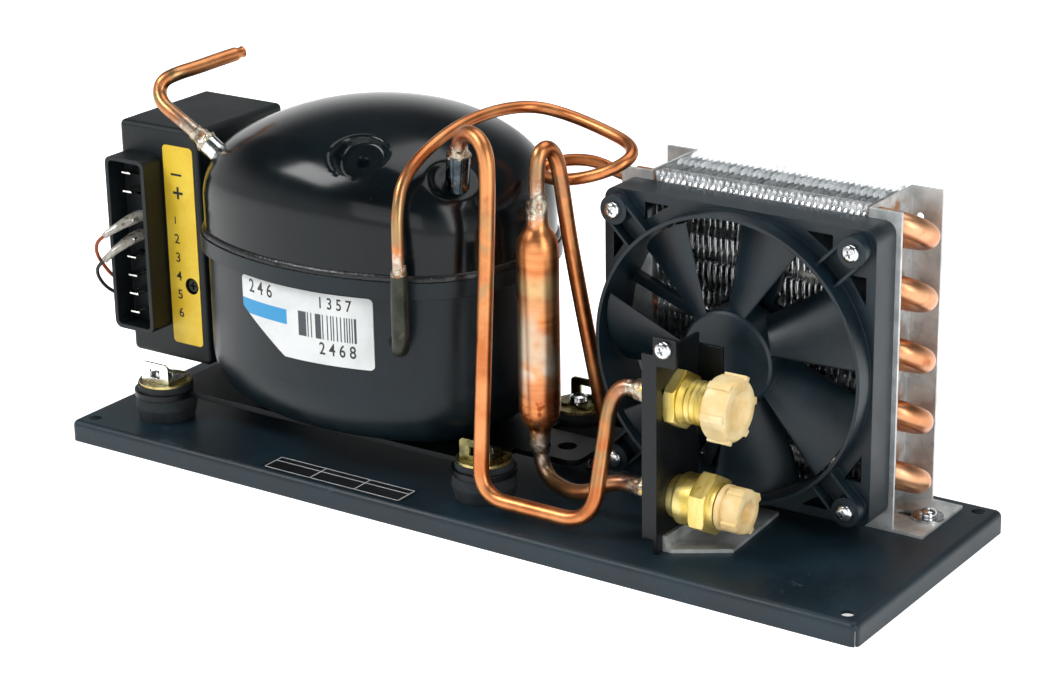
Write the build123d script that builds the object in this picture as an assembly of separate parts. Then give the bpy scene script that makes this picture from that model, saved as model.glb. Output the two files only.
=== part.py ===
from build123d import *
import math
import os

os.makedirs("parts", exist_ok=True)

# Refrigeration condensing unit. Millimetres, +Z up, +X along the tray to the condenser,
# +Y from the couplings to the back, origin at the middle of the tray's underside.

# Base tray
TRAY_LENGTH = 386.0
TRAY_DEPTH = 125.0
TRAY_HEIGHT = 9.4
TRAY_SHEET = 1.5
TRAY_BEND = 3.0
TRAY_SEAM = 0.6
TRAY_HOLE_D = 5.6
TRAY_HOLE_INSET_X = 7.8
TRAY_HOLE_INSET_Y = 7.5

# Compressor feet
FOOT_SPACING_X = 170.0
FOOT_SPACING_Y = 70.0
FOOT_CENTRE_X = -76.0
FOOT_PLATE_Z = 20.0
FOOT_PLATE_SHEET = 2.5
FOOT_EAR_R = 13.5
FOOT_WAIST = 68.0
FOOT_TONGUE = 27.0
FOOT_TONGUE_WIDTH = 26.0
FOOT_TONGUE_HOLE_D = 8.0
GROMMET_D = 27.0
GROMMET_NECK_D = 16.0
GROMMET_TOP_D = 24.0
GROMMET_TOP_THICK = 2.6
PIN_D = 8.0
PIN_HEAD_D = 15.0
PIN_HEAD_THICK = 1.4
PIN_GROOVE = 1.6
WASHER_D = 23.0
WASHER_THICK = 1.2
CLIP_WIDTH = 15.0
CLIP_DEPTH = 13.0
CLIP_HEIGHT = 9.0
CLIP_SHEET = 1.0
CLIP_WINDOW = 5.5
CLEAR = 0.3
FIT = 0.05

# Compressor shell
SHELL_X = -66.7
SHELL_HALF_LENGTH = 75.0
SHELL_HALF_DEPTH = 59.4
SHELL_END_R = 88.0
SHELL_SIDE_R = 118.0
SHELL_CORNER_R = 40.0
SHELL_WALL = 3.0
POT_BOTTOM_R = 28.0
RIM_STEP = 2.0
RIM_BOTTOM_Z = 93.0
WELD_Z = 100.0
LID_LAP = 5.0
LID_TOP_Z = 155.7
LID_CROWN_R = 125.0
LID_EDGE_R = 30.0
WELD_BEAD = 1.3
BEAD_HEIGHT = 2.6
LABEL_SHEET = 0.3
LABEL_LEFT_X = -97.0
LABEL_RIGHT_X = -31.0
LABEL_TOP_Z = 91.5
LABEL_BOTTOM_Z = 61.0
LABEL_CORNER_CUT = 24.0

# Stubs brazed into the shell
SUCTION_STUB_R = 4.9
SUCTION_BASE = (-9.0, -24.5, 128.0)
SUCTION_TOP = (-5.5, -27.0, 149.0)
PROCESS_STUB_R = 4.4
PROCESS_BASE = (-119.0, -24.6, 122.0)
PROCESS_END = (-136.5, -28.0, 136.0)
DISCHARGE_STUB_R = 3.6
DISCHARGE_LEG_X = -13.3
DISCHARGE_LEG_Y = -58.5
DISCHARGE_STUB_TOP = 106.0
DISCHARGE_EXIT = (-26.0, -44.0, 74.5)
STUB_WALL = 1.0
SOCKET_DEPTH = 7.0
BRAZE_LENGTH = 6.0
BRAZE_STEP = 0.9

# Works inside the shell
STATOR_D = 92.0
STATOR_BORE = 50.0
STATOR_BOTTOM_Z = 40.0
STATOR_HEIGHT = 28.0
WINDING_OUTER_D = 65.0
WINDING_INNER_D = 53.0
WINDING_HEIGHT = 8.0
AIR_GAP = 0.4
SHAFT_D = 14.0
BEARING_D = 26.0
BLOCK_Z = 80.0
BLOCK_THICK = 9.0
BLOCK_LENGTH = 74.0
BLOCK_DEPTH = 58.0
CRANK_Z = 108.0
CRANK_THROW = 3.0
CRANK_PIN_D = 8.0
COUNTERWEIGHT_D = 30.0
COUNTERWEIGHT_THICK = 4.0
CYLINDER_BORE = 21.0
CYLINDER_OUTER = 34.0
CYLINDER_START = 20.0
CYLINDER_END = 44.0
PISTON_LENGTH = 15.0
PISTON_START = 22.0
ROD_THICK = 6.0
ROD_EYE_RIM = 2.5
WRIST_PIN_D = 6.0
HEAD_THICK = 8.0
SPRING_X = 30.0
SPRING_Y = 22.0
SPRING_D = 8.0
SPRING_TURNS = 5
INNER_TUBE_D = 3.2

# Electronic unit
UNIT_LEFT = -188.5
UNIT_RIGHT = -144.3
UNIT_FRONT = -24.0
UNIT_BACK = 34.0
UNIT_BOTTOM = 31.5
UNIT_TOP = 137.0
UNIT_WALL = 2.0
UNIT_EDGE_R = 2.5
UNIT_COVER = 10.0
SHROUD_LEFT = -187.0
SHROUD_RIGHT = -165.0
SHROUD_BOTTOM = 46.0
SHROUD_TOP = 124.0
SHROUD_DEPTH = 12.0
SHROUD_WALL = 1.8
SHROUD_CORNER_R = 3.5
BLADE_COUNT = 8
BLADE_WIDTH = 6.3
BLADE_THICK = 0.8
BLADE_LENGTH = 10.0
BLADE_X = -177.0
BLADE_TOP_Z = 114.4
BLADE_PITCH = 8.74
LEAD_BLADES = (2, 3)
LEAD_R = 0.8
LEAD_ENTRY_X = 41.2
LEAD_ENTRY_Y = 7.5
LEAD_ENTRY_Z = 31.0
STRIP_LEFT = -164.0
STRIP_RIGHT = -147.4
STRIP_BOTTOM = 39.8
STRIP_TOP = 129.4
STRIP_SHEET = 0.3
STRIP_CORNER_R = 2.0
HOUSING_SCREW_X = -151.8
HOUSING_SCREW_Z = 67.2
HOUSING_SCREW_D = 5.4
HOUSING_SCREW_WELL_D = 7.4
HOUSING_SCREW_SINK = 2.2
TERMINAL_Z = 66.0
TERMINAL_D = 24.0
TERMINAL_PIN_D = 2.4

# Condenser: one-inch tube pitch, rows half a pitch apart in height
FAN_X = 103.5
PLATE_HALF = 48.1
PLATE_SHEET = 1.2
PLATE_FLANGE = 14.0
PLATE_FRONT = 18.9
PLATE_DEPTH = 35.9
PLATE_TOP = 139.85
PLATE_FOOT = 27.0
SLOT_LENGTH = 16.0
SLOT_WIDTH = 5.2
FLANGE_HOLE_D = 3.0
FLANGE_HOLE_DROP = 12.0
TUBE_D = 9.52
TUBE_WALL = 0.7
TUBE_PITCH = 25.4
ROW_SPACING = 22.0
TUBE_ROWS = 5
TOP_TUBE_DROP = 6.25
TUBE_END = 2.5
FIN_COUNT = 31
FIN_SHEET = 0.3
FIN_END_GAP = 2.0
FIN_INSET = 1.3
FIN_BOTTOM_LIFT = 1.5
INLET_REACH = 11.0
OUTLET_REACH = 18.0

# Axial fan
FAN_SIZE = 120.0
FAN_DEPTH = 25.0
FAN_Z = 76.1
FAN_HOLE_PITCH = 105.0
FAN_HOLE_D = 4.4
RING_OUTER_D = 118.0
RING_INNER_D = 115.0
FLANGE_DEPTH = 15.9
FAN_PLATE = 2.0
FAN_SKIRT = 2.0
FAN_CORNER_R = 5.0
BOSS_D = 12.0
BOSS_RECESS = 3.2
RIB_THICK = 1.2
STRUT_WIDTH = 4.0
STRUT_DEPTH = 4.0
MOTOR_PLATE_D = 42.0
MOTOR_PLATE = 2.0
BEARING_SLEEVE_D = 11.0
BEARING_SLEEVE_BORE = 8.0
HUB_D = 40.0
HUB_WALL = 1.5
HUB_FRONT_GAP = 1.6
HUB_DEPTH = 16.0
BLADE_NUMBER = 7
BLADE_TIP_D = 112.6
BLADE_SHEET = 1.5
BLADE_ROOT_CHORD = 19.0
BLADE_TIP_CHORD = 39.0
BLADE_ROOT_PITCH = 46.0
BLADE_TIP_PITCH = 68.0
BLADE_SWEEP = 16.0
FAN_SHAFT_D = 3.0
MAGNET_THICK = 2.5
FAN_STATOR_D = 28.0

# Screws
SCREW_D = 4.0
SCREW_HEAD_D = 7.2
SCREW_HEAD_H = 2.6
SCREW_WASHER_D = 13.0
SCREW_WASHER_T = 1.0
CROSS_WIDTH = 1.0
CROSS_DEPTH = 1.4

# Coupling bracket
BRACKET_X = 97.5
BRACKET_SHEET = 1.5
BRACKET_FRONT = -48.6
BRACKET_BACK = -17.0
BRACKET_TOP = 91.0
BRACKET_LIP = 5.0
BRACKET_WING = 12.5
BRACKET_WING_TOP = 87.0
BRACKET_TAB = 10.0
BRACKET_TAB_TOP = 98.5
COUPLING_Y = -33.6
UPPER_Z = 69.5
LOWER_Z = 29.0
COUPLING_NECK_D = 13.0
COUPLING_BORE_D = 6.6
COUPLING_SOCKET_D = 9.4
COUPLING_SOCKET_X = 84.6
THREAD_D = 17.6
THREAD_PITCH = 2.2
LOCK_NUT_FLATS = 17.5
LOCK_NUT_THICK = 2.6
UPPER_FLANGE_FLATS = 20.8
UPPER_FLANGE_THICK = 5.0
UPPER_THREAD_END = 118.0
CAP_FLATS = 24.3
CAP_START = 113.5
CAP_END = 127.0
CAP_RECESS_D = 15.5
CAP_RECESS = 3.0
LOWER_COLLAR_D = 17.0
LOWER_BARREL_D = 20.6
LOWER_HEX_FLATS = 22.0
LOWER_BARREL_START = 102.2
LOWER_HEX_START = 110.5
LOWER_HEX_END = 117.5
LOWER_END = 120.0
PLUG_FLATS = 18.6
PLUG_START = 120.6
PLUG_END = 131.0
PLUG_RECESS_D = 9.0
PLUG_SHANK_D = 12.0
PLUG_SHANK = 6.0

# Refrigerant lines
PROCESS_TUBE_D = 6.0
SUCTION_TUBE_D = 6.4
DISCHARGE_TUBE_D = 5.0
DRIER_LINE_D = 6.4
LIQUID_TUBE_D = 6.4
LINE_WALL = 0.8
DRIER_D = 17.0
DRIER_X = 26.5
DRIER_Y = -20.0
DRIER_BOTTOM = 39.0
DRIER_TOP = 121.0
DRIER_SHOULDER = 7.0
DRIER_NECK = 9.0

FOOT_XS = (FOOT_CENTRE_X - FOOT_SPACING_X / 2, FOOT_CENTRE_X + FOOT_SPACING_X / 2)
FOOT_YS = (-FOOT_SPACING_Y / 2, FOOT_SPACING_Y / 2)
FEET = [(x, y) for x in FOOT_XS for y in FOOT_YS]
FAN_FRONT = PLATE_FRONT - FAN_DEPTH
FAN_CORNERS = [(FAN_X + i * FAN_HOLE_PITCH / 2, FAN_Z + k * FAN_HOLE_PITCH / 2)
               for i in (-1, 1) for k in (-1, 1)]
ROW_FRONT = PLATE_FRONT + PLATE_DEPTH / 2 - ROW_SPACING / 2
ROW_BACK = ROW_FRONT + ROW_SPACING
FRONT_TUBE_Z = [PLATE_TOP - TOP_TUBE_DROP - i * TUBE_PITCH for i in range(TUBE_ROWS)]
BACK_TUBE_Z = [z - TUBE_PITCH / 2 for z in FRONT_TUBE_Z]
TUBE_PLACES = [(ROW_FRONT, z) for z in FRONT_TUBE_Z] + [(ROW_BACK, z) for z in BACK_TUBE_Z]
FOOT_SLOT_X = FAN_X + PLATE_HALF + PLATE_FOOT / 2
FOOT_SCREW_X = FAN_X + PLATE_HALF + PLATE_FOOT - 6.5
FOOT_SCREW_Y = PLATE_FRONT + PLATE_DEPTH / 2

MIN_ALIGN = (Align.CENTER, Align.CENTER, Align.MIN)


def block(x0, x1, y0, y1, z0, z1):
    """A box between two opposite corners."""
    centre = Pos((x0 + x1) / 2, (y0 + y1) / 2, (z0 + z1) / 2)
    return centre * Box(abs(x1 - x0), abs(y1 - y0), abs(z1 - z0))


def rod(start, axis, diameter, length):
    """A cylinder from a start point along an axis."""
    return Plane(origin=start, z_dir=axis) * Cylinder(diameter / 2, length, align=MIN_ALIGN)


def collar(start, axis, outer, inner, length):
    """A ring with a through bore."""
    return rod(start, axis, outer, length) - rod(start, axis, inner, length)


def turned(points, start=(0, 0, 0), axis=(0, 0, 1)):
    """A turned piece: (radius, height) points of a closed half outline, spun about the axis."""
    outline = Polyline(*[(r, 0, h) for r, h in points], close=True)
    return Plane(origin=start, z_dir=axis) * revolve(make_face(outline), Axis.Z)


def hexagon(start, axis, flats, length, chamfer_size=0.0):
    """A hexagonal prism along an axis, with turned corners where a chamfer is given."""
    plane = Plane(origin=start, z_dir=axis)
    prism = extrude(RegularPolygon(flats / math.sqrt(3), 6), length)
    if chamfer_size:
        corner = flats / math.sqrt(3)
        bulk = turned([(0, 0), (corner - chamfer_size, 0), (corner + 0.5, chamfer_size),
                       (corner + 0.5, length - chamfer_size), (corner - chamfer_size, length),
                       (0, length)])
        prism = prism & bulk
    return plane * prism


def pipe(points, radii, outer, wall):
    """A tube along straight runs joined by tangent bends."""
    if radii:
        path = FilletPolyline(*points, radius=radii)
    else:
        path = Polyline(*points)
    start = Plane(origin=path @ 0, z_dir=path % 0)
    skin = sweep(start * Circle(outer / 2), path)
    if wall:
        skin = skin - sweep(start * Circle(outer / 2 - wall), path)
    return skin


def toward(a, b):
    """Unit vector from a to b."""
    return (Vector(*b) - Vector(*a)).normalized()


def between(a, b, share):
    """Point at a share of the way from a to b."""
    return tuple(p + (q - p) * share for p, q in zip(a, b))


def shell_outline(grow):
    """Plan of the pressed shell: bulged sides and ends joined by corner arcs."""
    half_x = SHELL_HALF_LENGTH + grow
    half_y = SHELL_HALF_DEPTH + grow
    side = Pos(0, half_y - SHELL_SIDE_R - grow) * Circle(SHELL_SIDE_R + grow)
    other_side = Pos(0, -half_y + SHELL_SIDE_R + grow) * Circle(SHELL_SIDE_R + grow)
    end = Pos(half_x - SHELL_END_R - grow, 0) * Circle(SHELL_END_R + grow)
    other_end = Pos(-half_x + SHELL_END_R + grow, 0) * Circle(SHELL_END_R + grow)
    lens = (side & other_side) & (end & other_end)
    rounded = fillet(lens.vertices(), SHELL_CORNER_R + grow)
    return Pos(SHELL_X, 0) * rounded


def shell_prism(grow, z0, z1):
    """Shell plan raised between two heights."""
    return Pos(0, 0, z0) * extrude(shell_outline(grow), z1 - z0)


def lid_bulk(grow, z0):
    """Domed lid as a solid: the plan under a crown, with a broad rolled edge."""
    wall = shell_prism(grow, z0, LID_TOP_Z + grow + 5)
    crown_r = LID_CROWN_R + grow
    crown = Pos(SHELL_X, 0, LID_TOP_Z - LID_CROWN_R) * Sphere(crown_r)
    dome = wall & crown
    top_edges = dome.faces().sort_by(Axis.Z)[-1].edges()
    return fillet(top_edges, LID_EDGE_R + grow)


def pot_bulk(grow, z0, z1):
    """Pot as a solid: the plan with a rounded bottom edge."""
    bowl = shell_prism(grow, z0, z1)
    bottom_edges = bowl.faces().sort_by(Axis.Z)[0].edges()
    return fillet(bottom_edges, POT_BOTTOM_R + grow)


def pan_screw(start, axis, length, washer=False):
    """Pan-head cross screw: the head stands on the start point, the shank goes against the axis."""
    away = tuple(-a for a in axis)
    lift = SCREW_WASHER_T if washer else 0.0
    seat = tuple(s + a * lift for s, a in zip(start, axis))
    head = turned([(0, 0), (SCREW_HEAD_D / 2, 0), (SCREW_HEAD_D / 2, SCREW_HEAD_H * 0.45),
                   (SCREW_HEAD_D * 0.3, SCREW_HEAD_H * 0.92), (0, SCREW_HEAD_H)], seat, axis)
    slots = Box(SCREW_HEAD_D * 0.62, CROSS_WIDTH, 2 * CROSS_DEPTH)
    slots += Box(CROSS_WIDTH, SCREW_HEAD_D * 0.62, 2 * CROSS_DEPTH)
    top = tuple(s + a * SCREW_HEAD_H for s, a in zip(seat, axis))
    head -= Plane(origin=top, z_dir=axis) * slots
    screw = head + rod(seat, away, SCREW_D, length)
    if washer:
        screw += rod(start, axis, SCREW_WASHER_D, SCREW_WASHER_T)
    return screw


def base_tray():
    """Folded sheet tray, open below, with seamed corners."""
    half_x = TRAY_LENGTH / 2
    half_y = TRAY_DEPTH / 2
    outer = block(-half_x, half_x, -half_y, half_y, 0, TRAY_HEIGHT)
    outer = fillet(outer.edges().filter_by(Axis.Z), TRAY_BEND)
    outer = fillet(outer.faces().sort_by(Axis.Z)[-1].edges(), TRAY_BEND * 0.9)
    cut = block(-half_x + TRAY_SHEET, half_x - TRAY_SHEET, -half_y + TRAY_SHEET,
                half_y - TRAY_SHEET, -1, TRAY_HEIGHT - TRAY_SHEET)
    cut = fillet(cut.edges().filter_by(Axis.Z), TRAY_BEND - TRAY_SHEET)
    cut = fillet(cut.faces().sort_by(Axis.Z)[-1].edges(), (TRAY_BEND - TRAY_SHEET) * 0.9)
    tray = outer - cut
    for i in (-1, 1):
        for k in (-1, 1):
            x = i * (half_x - TRAY_HOLE_INSET_X)
            y = k * (half_y - TRAY_HOLE_INSET_Y)
            tray -= rod((x, y, -1), (0, 0, 1), TRAY_HOLE_D, TRAY_HEIGHT + 2)
            seam = Box(4 * TRAY_BEND, TRAY_SEAM, 2 * (TRAY_HEIGHT - TRAY_BEND))
            tray -= Pos(i * half_x, k * half_y, 0) * Rot(0, 0, 45 * i * k) * seam
    for x, y in FEET:
        tray -= rod((x, y, 0), (0, 0, 1), PIN_D + 2 * FIT, TRAY_HEIGHT + 1)
    for x, y in foot_screw_places():
        tray -= rod((x, y, 0), (0, 0, 1), SCREW_D + 2 * FIT, TRAY_HEIGHT + 1)
    return tray


def foot_screw_places():
    """Plan places of the screws that hold the end plates and the bracket foot down."""
    right = (FOOT_SCREW_X, FOOT_SCREW_Y)
    left = (2 * FAN_X - FOOT_SCREW_X, FOOT_SCREW_Y)
    return [right, left, BRACKET_FOOT_SCREW]


BRACKET_FOOT_SCREW = (108.0, -3.0)


def compressor_foot_plate():
    """Pressed plate under the pot, with an ear over each grommet and a holed tongue."""
    left, right = FOOT_XS
    waist = FOOT_WAIST / 2
    plan = Pos((left + right) / 2, 0) * Rectangle(right - left, 2 * waist)
    for x, y in FEET:
        plan += Pos(x, y) * Circle(FOOT_EAR_R)
    tongue_centre = right + FOOT_TONGUE / 2
    plan += Pos(tongue_centre, 0) * RectangleRounded(FOOT_TONGUE * 1.2, FOOT_TONGUE_WIDTH, 5)
    plate = Pos(0, 0, FOOT_PLATE_Z) * extrude(plan, FOOT_PLATE_SHEET)
    for x, y in FEET:
        plate -= rod((x, y, FOOT_PLATE_Z - 1), (0, 0, 1), GROMMET_NECK_D + 2 * FIT, 5)
    hole_x = right + FOOT_TONGUE * 0.64
    plate -= rod((hole_x, 0, FOOT_PLATE_Z - 1), (0, 0, 1), FOOT_TONGUE_HOLE_D, 5)
    return plate


def rubber_grommets():
    """Four rubber mounts: base bell, neck through the plate, upper lip."""
    height = FOOT_PLATE_Z - TRAY_HEIGHT
    neck_top = height + FOOT_PLATE_SHEET
    inner = PIN_D / 2 + FIT
    outline = [(inner, 0), (GROMMET_D / 2 - 1.5, 0), (GROMMET_D / 2, height * 0.55),
               (GROMMET_D / 2 - 0.6, height), (GROMMET_NECK_D / 2, height),
               (GROMMET_NECK_D / 2, neck_top), (GROMMET_TOP_D / 2, neck_top),
               (GROMMET_TOP_D / 2, neck_top + GROMMET_TOP_THICK), (inner, neck_top + GROMMET_TOP_THICK)]
    return [turned(outline, (x, y, TRAY_HEIGHT)) for x, y in FEET]


WASHER_Z = FOOT_PLATE_Z + FOOT_PLATE_SHEET + GROMMET_TOP_THICK
GROOVE_Z = WASHER_Z + WASHER_THICK
PIN_TOP_Z = GROOVE_Z + PIN_GROOVE + 2.4


def mounting_pins():
    """Four grooved pins, headed under the tray sheet."""
    head_z = TRAY_HEIGHT - TRAY_SHEET - PIN_HEAD_THICK
    pins = []
    for x, y in FEET:
        outline = [(0, head_z), (PIN_HEAD_D / 2, head_z), (PIN_HEAD_D / 2, head_z + PIN_HEAD_THICK),
                   (PIN_D / 2, head_z + PIN_HEAD_THICK), (PIN_D / 2, GROOVE_Z),
                   (PIN_D * 0.3, GROOVE_Z), (PIN_D * 0.3, GROOVE_Z + PIN_GROOVE),
                   (PIN_D / 2, GROOVE_Z + PIN_GROOVE), (PIN_D * 0.45, PIN_TOP_Z - 0.6),
                   (PIN_D * 0.3, PIN_TOP_Z), (0, PIN_TOP_Z)]
        pins.append(turned(outline, (x, y, 0)))
    return pins


def grommet_washers():
    """Four flat washers on the grommets."""
    return [collar((x, y, WASHER_Z), (0, 0, 1), WASHER_D, PIN_D + 2 * FIT, WASHER_THICK)
            for x, y in FEET]


def mounting_clips():
    """Four folded clips: a forked foot in the pin's groove and an upright finger plate."""
    clips = []
    for x, y in FEET:
        rear = y + (CLIP_DEPTH / 2 if y > 0 else -CLIP_DEPTH / 2)
        inward = rear + (-CLIP_SHEET if y > 0 else CLIP_SHEET)
        foot = block(x - CLIP_WIDTH / 2, x + CLIP_WIDTH / 2, rear, y + (y - rear) * 0.85,
                     GROOVE_Z + 0.1, GROOVE_Z + 0.1 + CLIP_SHEET)
        throat = PIN_D * 0.6 + 2 * FIT
        far = y + (y - rear) * 1.2
        foot -= rod((x, y, GROOVE_Z - 1), (0, 0, 1), throat, 5)
        foot -= block(x - throat / 2, x + throat / 2, y, far, GROOVE_Z - 1, GROOVE_Z + 4)
        upright = block(x - CLIP_WIDTH / 2, x + CLIP_WIDTH / 2, rear, inward,
                        GROOVE_Z + 0.1, GROOVE_Z + CLIP_HEIGHT)
        corners = upright.edges().filter_by(Axis.Y).group_by(Axis.Z)[-1]
        upright = fillet(corners, 2.0)
        window_z = GROOVE_Z + CLIP_HEIGHT * 0.45
        window = block(x - CLIP_WINDOW / 2, x + CLIP_WINDOW / 2, rear - 2, rear + 2,
                       window_z - CLIP_WINDOW * 0.35, window_z + CLIP_WINDOW * 0.35)
        clips.append(foot + (upright - window))
    return clips


def compressor_pot():
    """Deep-drawn pot with a flared rim around the lid, holed for the terminal and discharge stub."""
    bottom = FOOT_PLATE_Z + FOOT_PLATE_SHEET
    wall_grow = -1.0
    bowl = pot_bulk(wall_grow, bottom, RIM_BOTTOM_Z)
    rim = shell_prism(RIM_STEP, RIM_BOTTOM_Z, WELD_Z)
    pot = bowl + rim
    pot -= pot_bulk(wall_grow - SHELL_WALL, bottom + SHELL_WALL, WELD_Z + 1)
    pot -= shell_prism(0.0, WELD_Z - LID_LAP, WELD_Z + 1)
    pot -= rod((SHELL_X - SHELL_HALF_LENGTH - 5, 0, TERMINAL_Z), (1, 0, 0), TERMINAL_D, 20)
    out = toward(DISCHARGE_EXIT, discharge_elbow())
    pot -= rod(DISCHARGE_EXIT, out, 2 * DISCHARGE_STUB_R, 20)
    return pot


def compressor_lid():
    """Domed lid with bores for the suction and process stubs."""
    lid = lid_bulk(0.0, WELD_Z - LID_LAP)
    lid -= lid_bulk(-SHELL_WALL, WELD_Z - LID_LAP - 1)
    for base, tip, radius in ((SUCTION_BASE, SUCTION_TOP, SUCTION_STUB_R),
                              (PROCESS_BASE, PROCESS_END, PROCESS_STUB_R)):
        axis = toward(base, tip)
        start = Vector(*base) - axis * 12
        lid -= rod(start, axis, 2 * radius, 40)
    return lid


def weld_bead():
    """Seam weld laid around the lid on the pot's rim."""
    bead = shell_prism(WELD_BEAD, WELD_Z, WELD_Z + BEAD_HEIGHT)
    bead = fillet(bead.faces().sort_by(Axis.Z)[-1].edges(), WELD_BEAD * 0.8)
    return bead - shell_prism(0.0, WELD_Z - 1, WELD_Z + BEAD_HEIGHT + 1)


def compressor_label():
    """Adhesive label bent around the pot's front, with one corner cut off."""
    skin = shell_prism(-1.0 + LABEL_SHEET, LABEL_BOTTOM_Z, LABEL_TOP_Z)
    skin -= shell_prism(-1.0, LABEL_BOTTOM_Z - 1, LABEL_TOP_Z + 1)
    outline = make_face(Polyline((LABEL_LEFT_X, LABEL_TOP_Z), (LABEL_RIGHT_X, LABEL_TOP_Z),
                                 (LABEL_RIGHT_X, LABEL_BOTTOM_Z),
                                 (LABEL_LEFT_X + LABEL_CORNER_CUT, LABEL_BOTTOM_Z),
                                 (LABEL_LEFT_X, LABEL_BOTTOM_Z + LABEL_CORNER_CUT * 0.7), close=True))
    outline = fillet(outline.vertices(), 2.0)
    window = Plane.XZ * extrude(outline, SHELL_HALF_DEPTH + 5)
    return skin & window


def stub(base, tip, radius):
    """Steel connector through the lid, bored for the copper tube."""
    axis = toward(base, tip)
    length = (Vector(*tip) - Vector(*base)).length
    start = tuple(b - a * 4 for b, a in zip(base, axis))
    body = rod(start, axis, 2 * radius, length + 4)
    return body - rod(start, axis, 2 * (radius - STUB_WALL), length + 4)


def suction_stub():
    """Suction connector in the lid."""
    return stub(SUCTION_BASE, SUCTION_TOP, SUCTION_STUB_R)


def process_stub():
    """Process connector in the lid."""
    return stub(PROCESS_BASE, PROCESS_END, PROCESS_STUB_R)


def discharge_elbow():
    """Corner of the discharge stub's elbow."""
    return (DISCHARGE_LEG_X, DISCHARGE_LEG_Y, DISCHARGE_EXIT[2] - 2.0)


def discharge_stub():
    """L-shaped steel connector out of the pot's front."""
    top = (DISCHARGE_LEG_X, DISCHARGE_LEG_Y, DISCHARGE_STUB_TOP)
    return pipe([DISCHARGE_EXIT, discharge_elbow(), top], [8.0], 2 * DISCHARGE_STUB_R, STUB_WALL)


def hermetic_terminal():
    """Three-pin terminal sealed in the pot's wall behind the electronic unit."""
    inner_x = SHELL_X - SHELL_HALF_LENGTH + 5.5
    outer_x = UNIT_RIGHT + CLEAR
    body = rod((outer_x, 0, TERMINAL_Z), (1, 0, 0), TERMINAL_D - 2 * FIT, inner_x - outer_x)
    for k in range(3):
        angle = math.radians(90 + 120 * k)
        y = TERMINAL_D * 0.25 * math.cos(angle)
        z = TERMINAL_Z + TERMINAL_D * 0.25 * math.sin(angle)
        body += rod((outer_x - 7, y, z), (1, 0, 0), TERMINAL_PIN_D, inner_x - outer_x + 12)
    return body


def motor_stator():
    """Laminated stator ring standing on the springs."""
    return collar((SHELL_X, 0, STATOR_BOTTOM_Z), (0, 0, 1), STATOR_D, STATOR_BORE, STATOR_HEIGHT)


def motor_windings():
    """End turns above and below the laminations."""
    top = collar((SHELL_X, 0, STATOR_BOTTOM_Z + STATOR_HEIGHT), (0, 0, 1),
                 WINDING_OUTER_D, WINDING_INNER_D, WINDING_HEIGHT)
    bottom = collar((SHELL_X, 0, STATOR_BOTTOM_Z - WINDING_HEIGHT), (0, 0, 1),
                    WINDING_OUTER_D, WINDING_INNER_D, WINDING_HEIGHT)
    edge = [fillet(r.faces().sort_by(Axis.Z)[i].edges(), 2.5) for r, i in ((top, -1), (bottom, 0))]
    return edge


def motor_rotor():
    """Permanent-magnet rotor pressed on the crankshaft."""
    return collar((SHELL_X, 0, STATOR_BOTTOM_Z), (0, 0, 1),
                  STATOR_BORE - 2 * AIR_GAP, SHAFT_D, STATOR_HEIGHT)


def crankshaft():
    """Shaft, counterweight and crank pin in one turned and ground piece."""
    web_z = CRANK_Z - ROD_THICK / 2 - 1.0 - COUNTERWEIGHT_THICK
    shaft = rod((SHELL_X, 0, STATOR_BOTTOM_Z - 3), (0, 0, 1), SHAFT_D, web_z - STATOR_BOTTOM_Z + 3)
    web = rod((SHELL_X, 0, web_z), (0, 0, 1), COUNTERWEIGHT_D, COUNTERWEIGHT_THICK)
    web -= block(SHELL_X + SHAFT_D / 2, SHELL_X + COUNTERWEIGHT_D, -COUNTERWEIGHT_D,
                 COUNTERWEIGHT_D, web_z - 1, web_z + COUNTERWEIGHT_THICK + 1)
    pin = rod((SHELL_X + CRANK_THROW, 0, web_z), (0, 0, 1), CRANK_PIN_D,
              CRANK_Z + ROD_THICK / 2 + 1.5 - web_z)
    return shaft + web + pin


def cylinder_block():
    """Cast block: bearing, cylinder barrel and four legs on the stator."""
    top = BLOCK_Z + BLOCK_THICK
    plan = RectangleRounded(BLOCK_LENGTH, BLOCK_DEPTH, 10)
    body = Pos(SHELL_X, 0, BLOCK_Z) * extrude(plan, BLOCK_THICK)
    body += rod((SHELL_X, 0, BLOCK_Z - 4), (0, 0, 1), BEARING_D, BLOCK_THICK + 8)
    barrel_x = SHELL_X + CYLINDER_START
    body += rod((barrel_x, 0, CRANK_Z), (1, 0, 0), CYLINDER_OUTER, CYLINDER_END - CYLINDER_START)
    body += block(barrel_x, SHELL_X + BLOCK_LENGTH / 2, -CYLINDER_OUTER * 0.35,
                  CYLINDER_OUTER * 0.35, top - 1, CRANK_Z)
    for i in (-1, 1):
        for k in (-1, 1):
            leg_z = STATOR_BOTTOM_Z + STATOR_HEIGHT
            leg = rod((SHELL_X + i * BLOCK_LENGTH * 0.43, k * BLOCK_DEPTH * 0.43, leg_z),
                      (0, 0, 1), 9.0, top - leg_z)
            body += leg
    body -= rod((SHELL_X, 0, BLOCK_Z - 6), (0, 0, 1), SHAFT_D + 2 * FIT, BLOCK_THICK + 12)
    body -= rod((barrel_x - 1, 0, CRANK_Z), (1, 0, 0), CYLINDER_BORE, 60)
    return body


def cylinder_head():
    """Valve plate and head closing the cylinder's end."""
    head_x = SHELL_X + CYLINDER_END
    head = block(head_x, head_x + HEAD_THICK, -17, 17, CRANK_Z - 17, CRANK_Z + 17)
    return fillet(head.edges().filter_by(Axis.X), 4.0)


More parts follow.
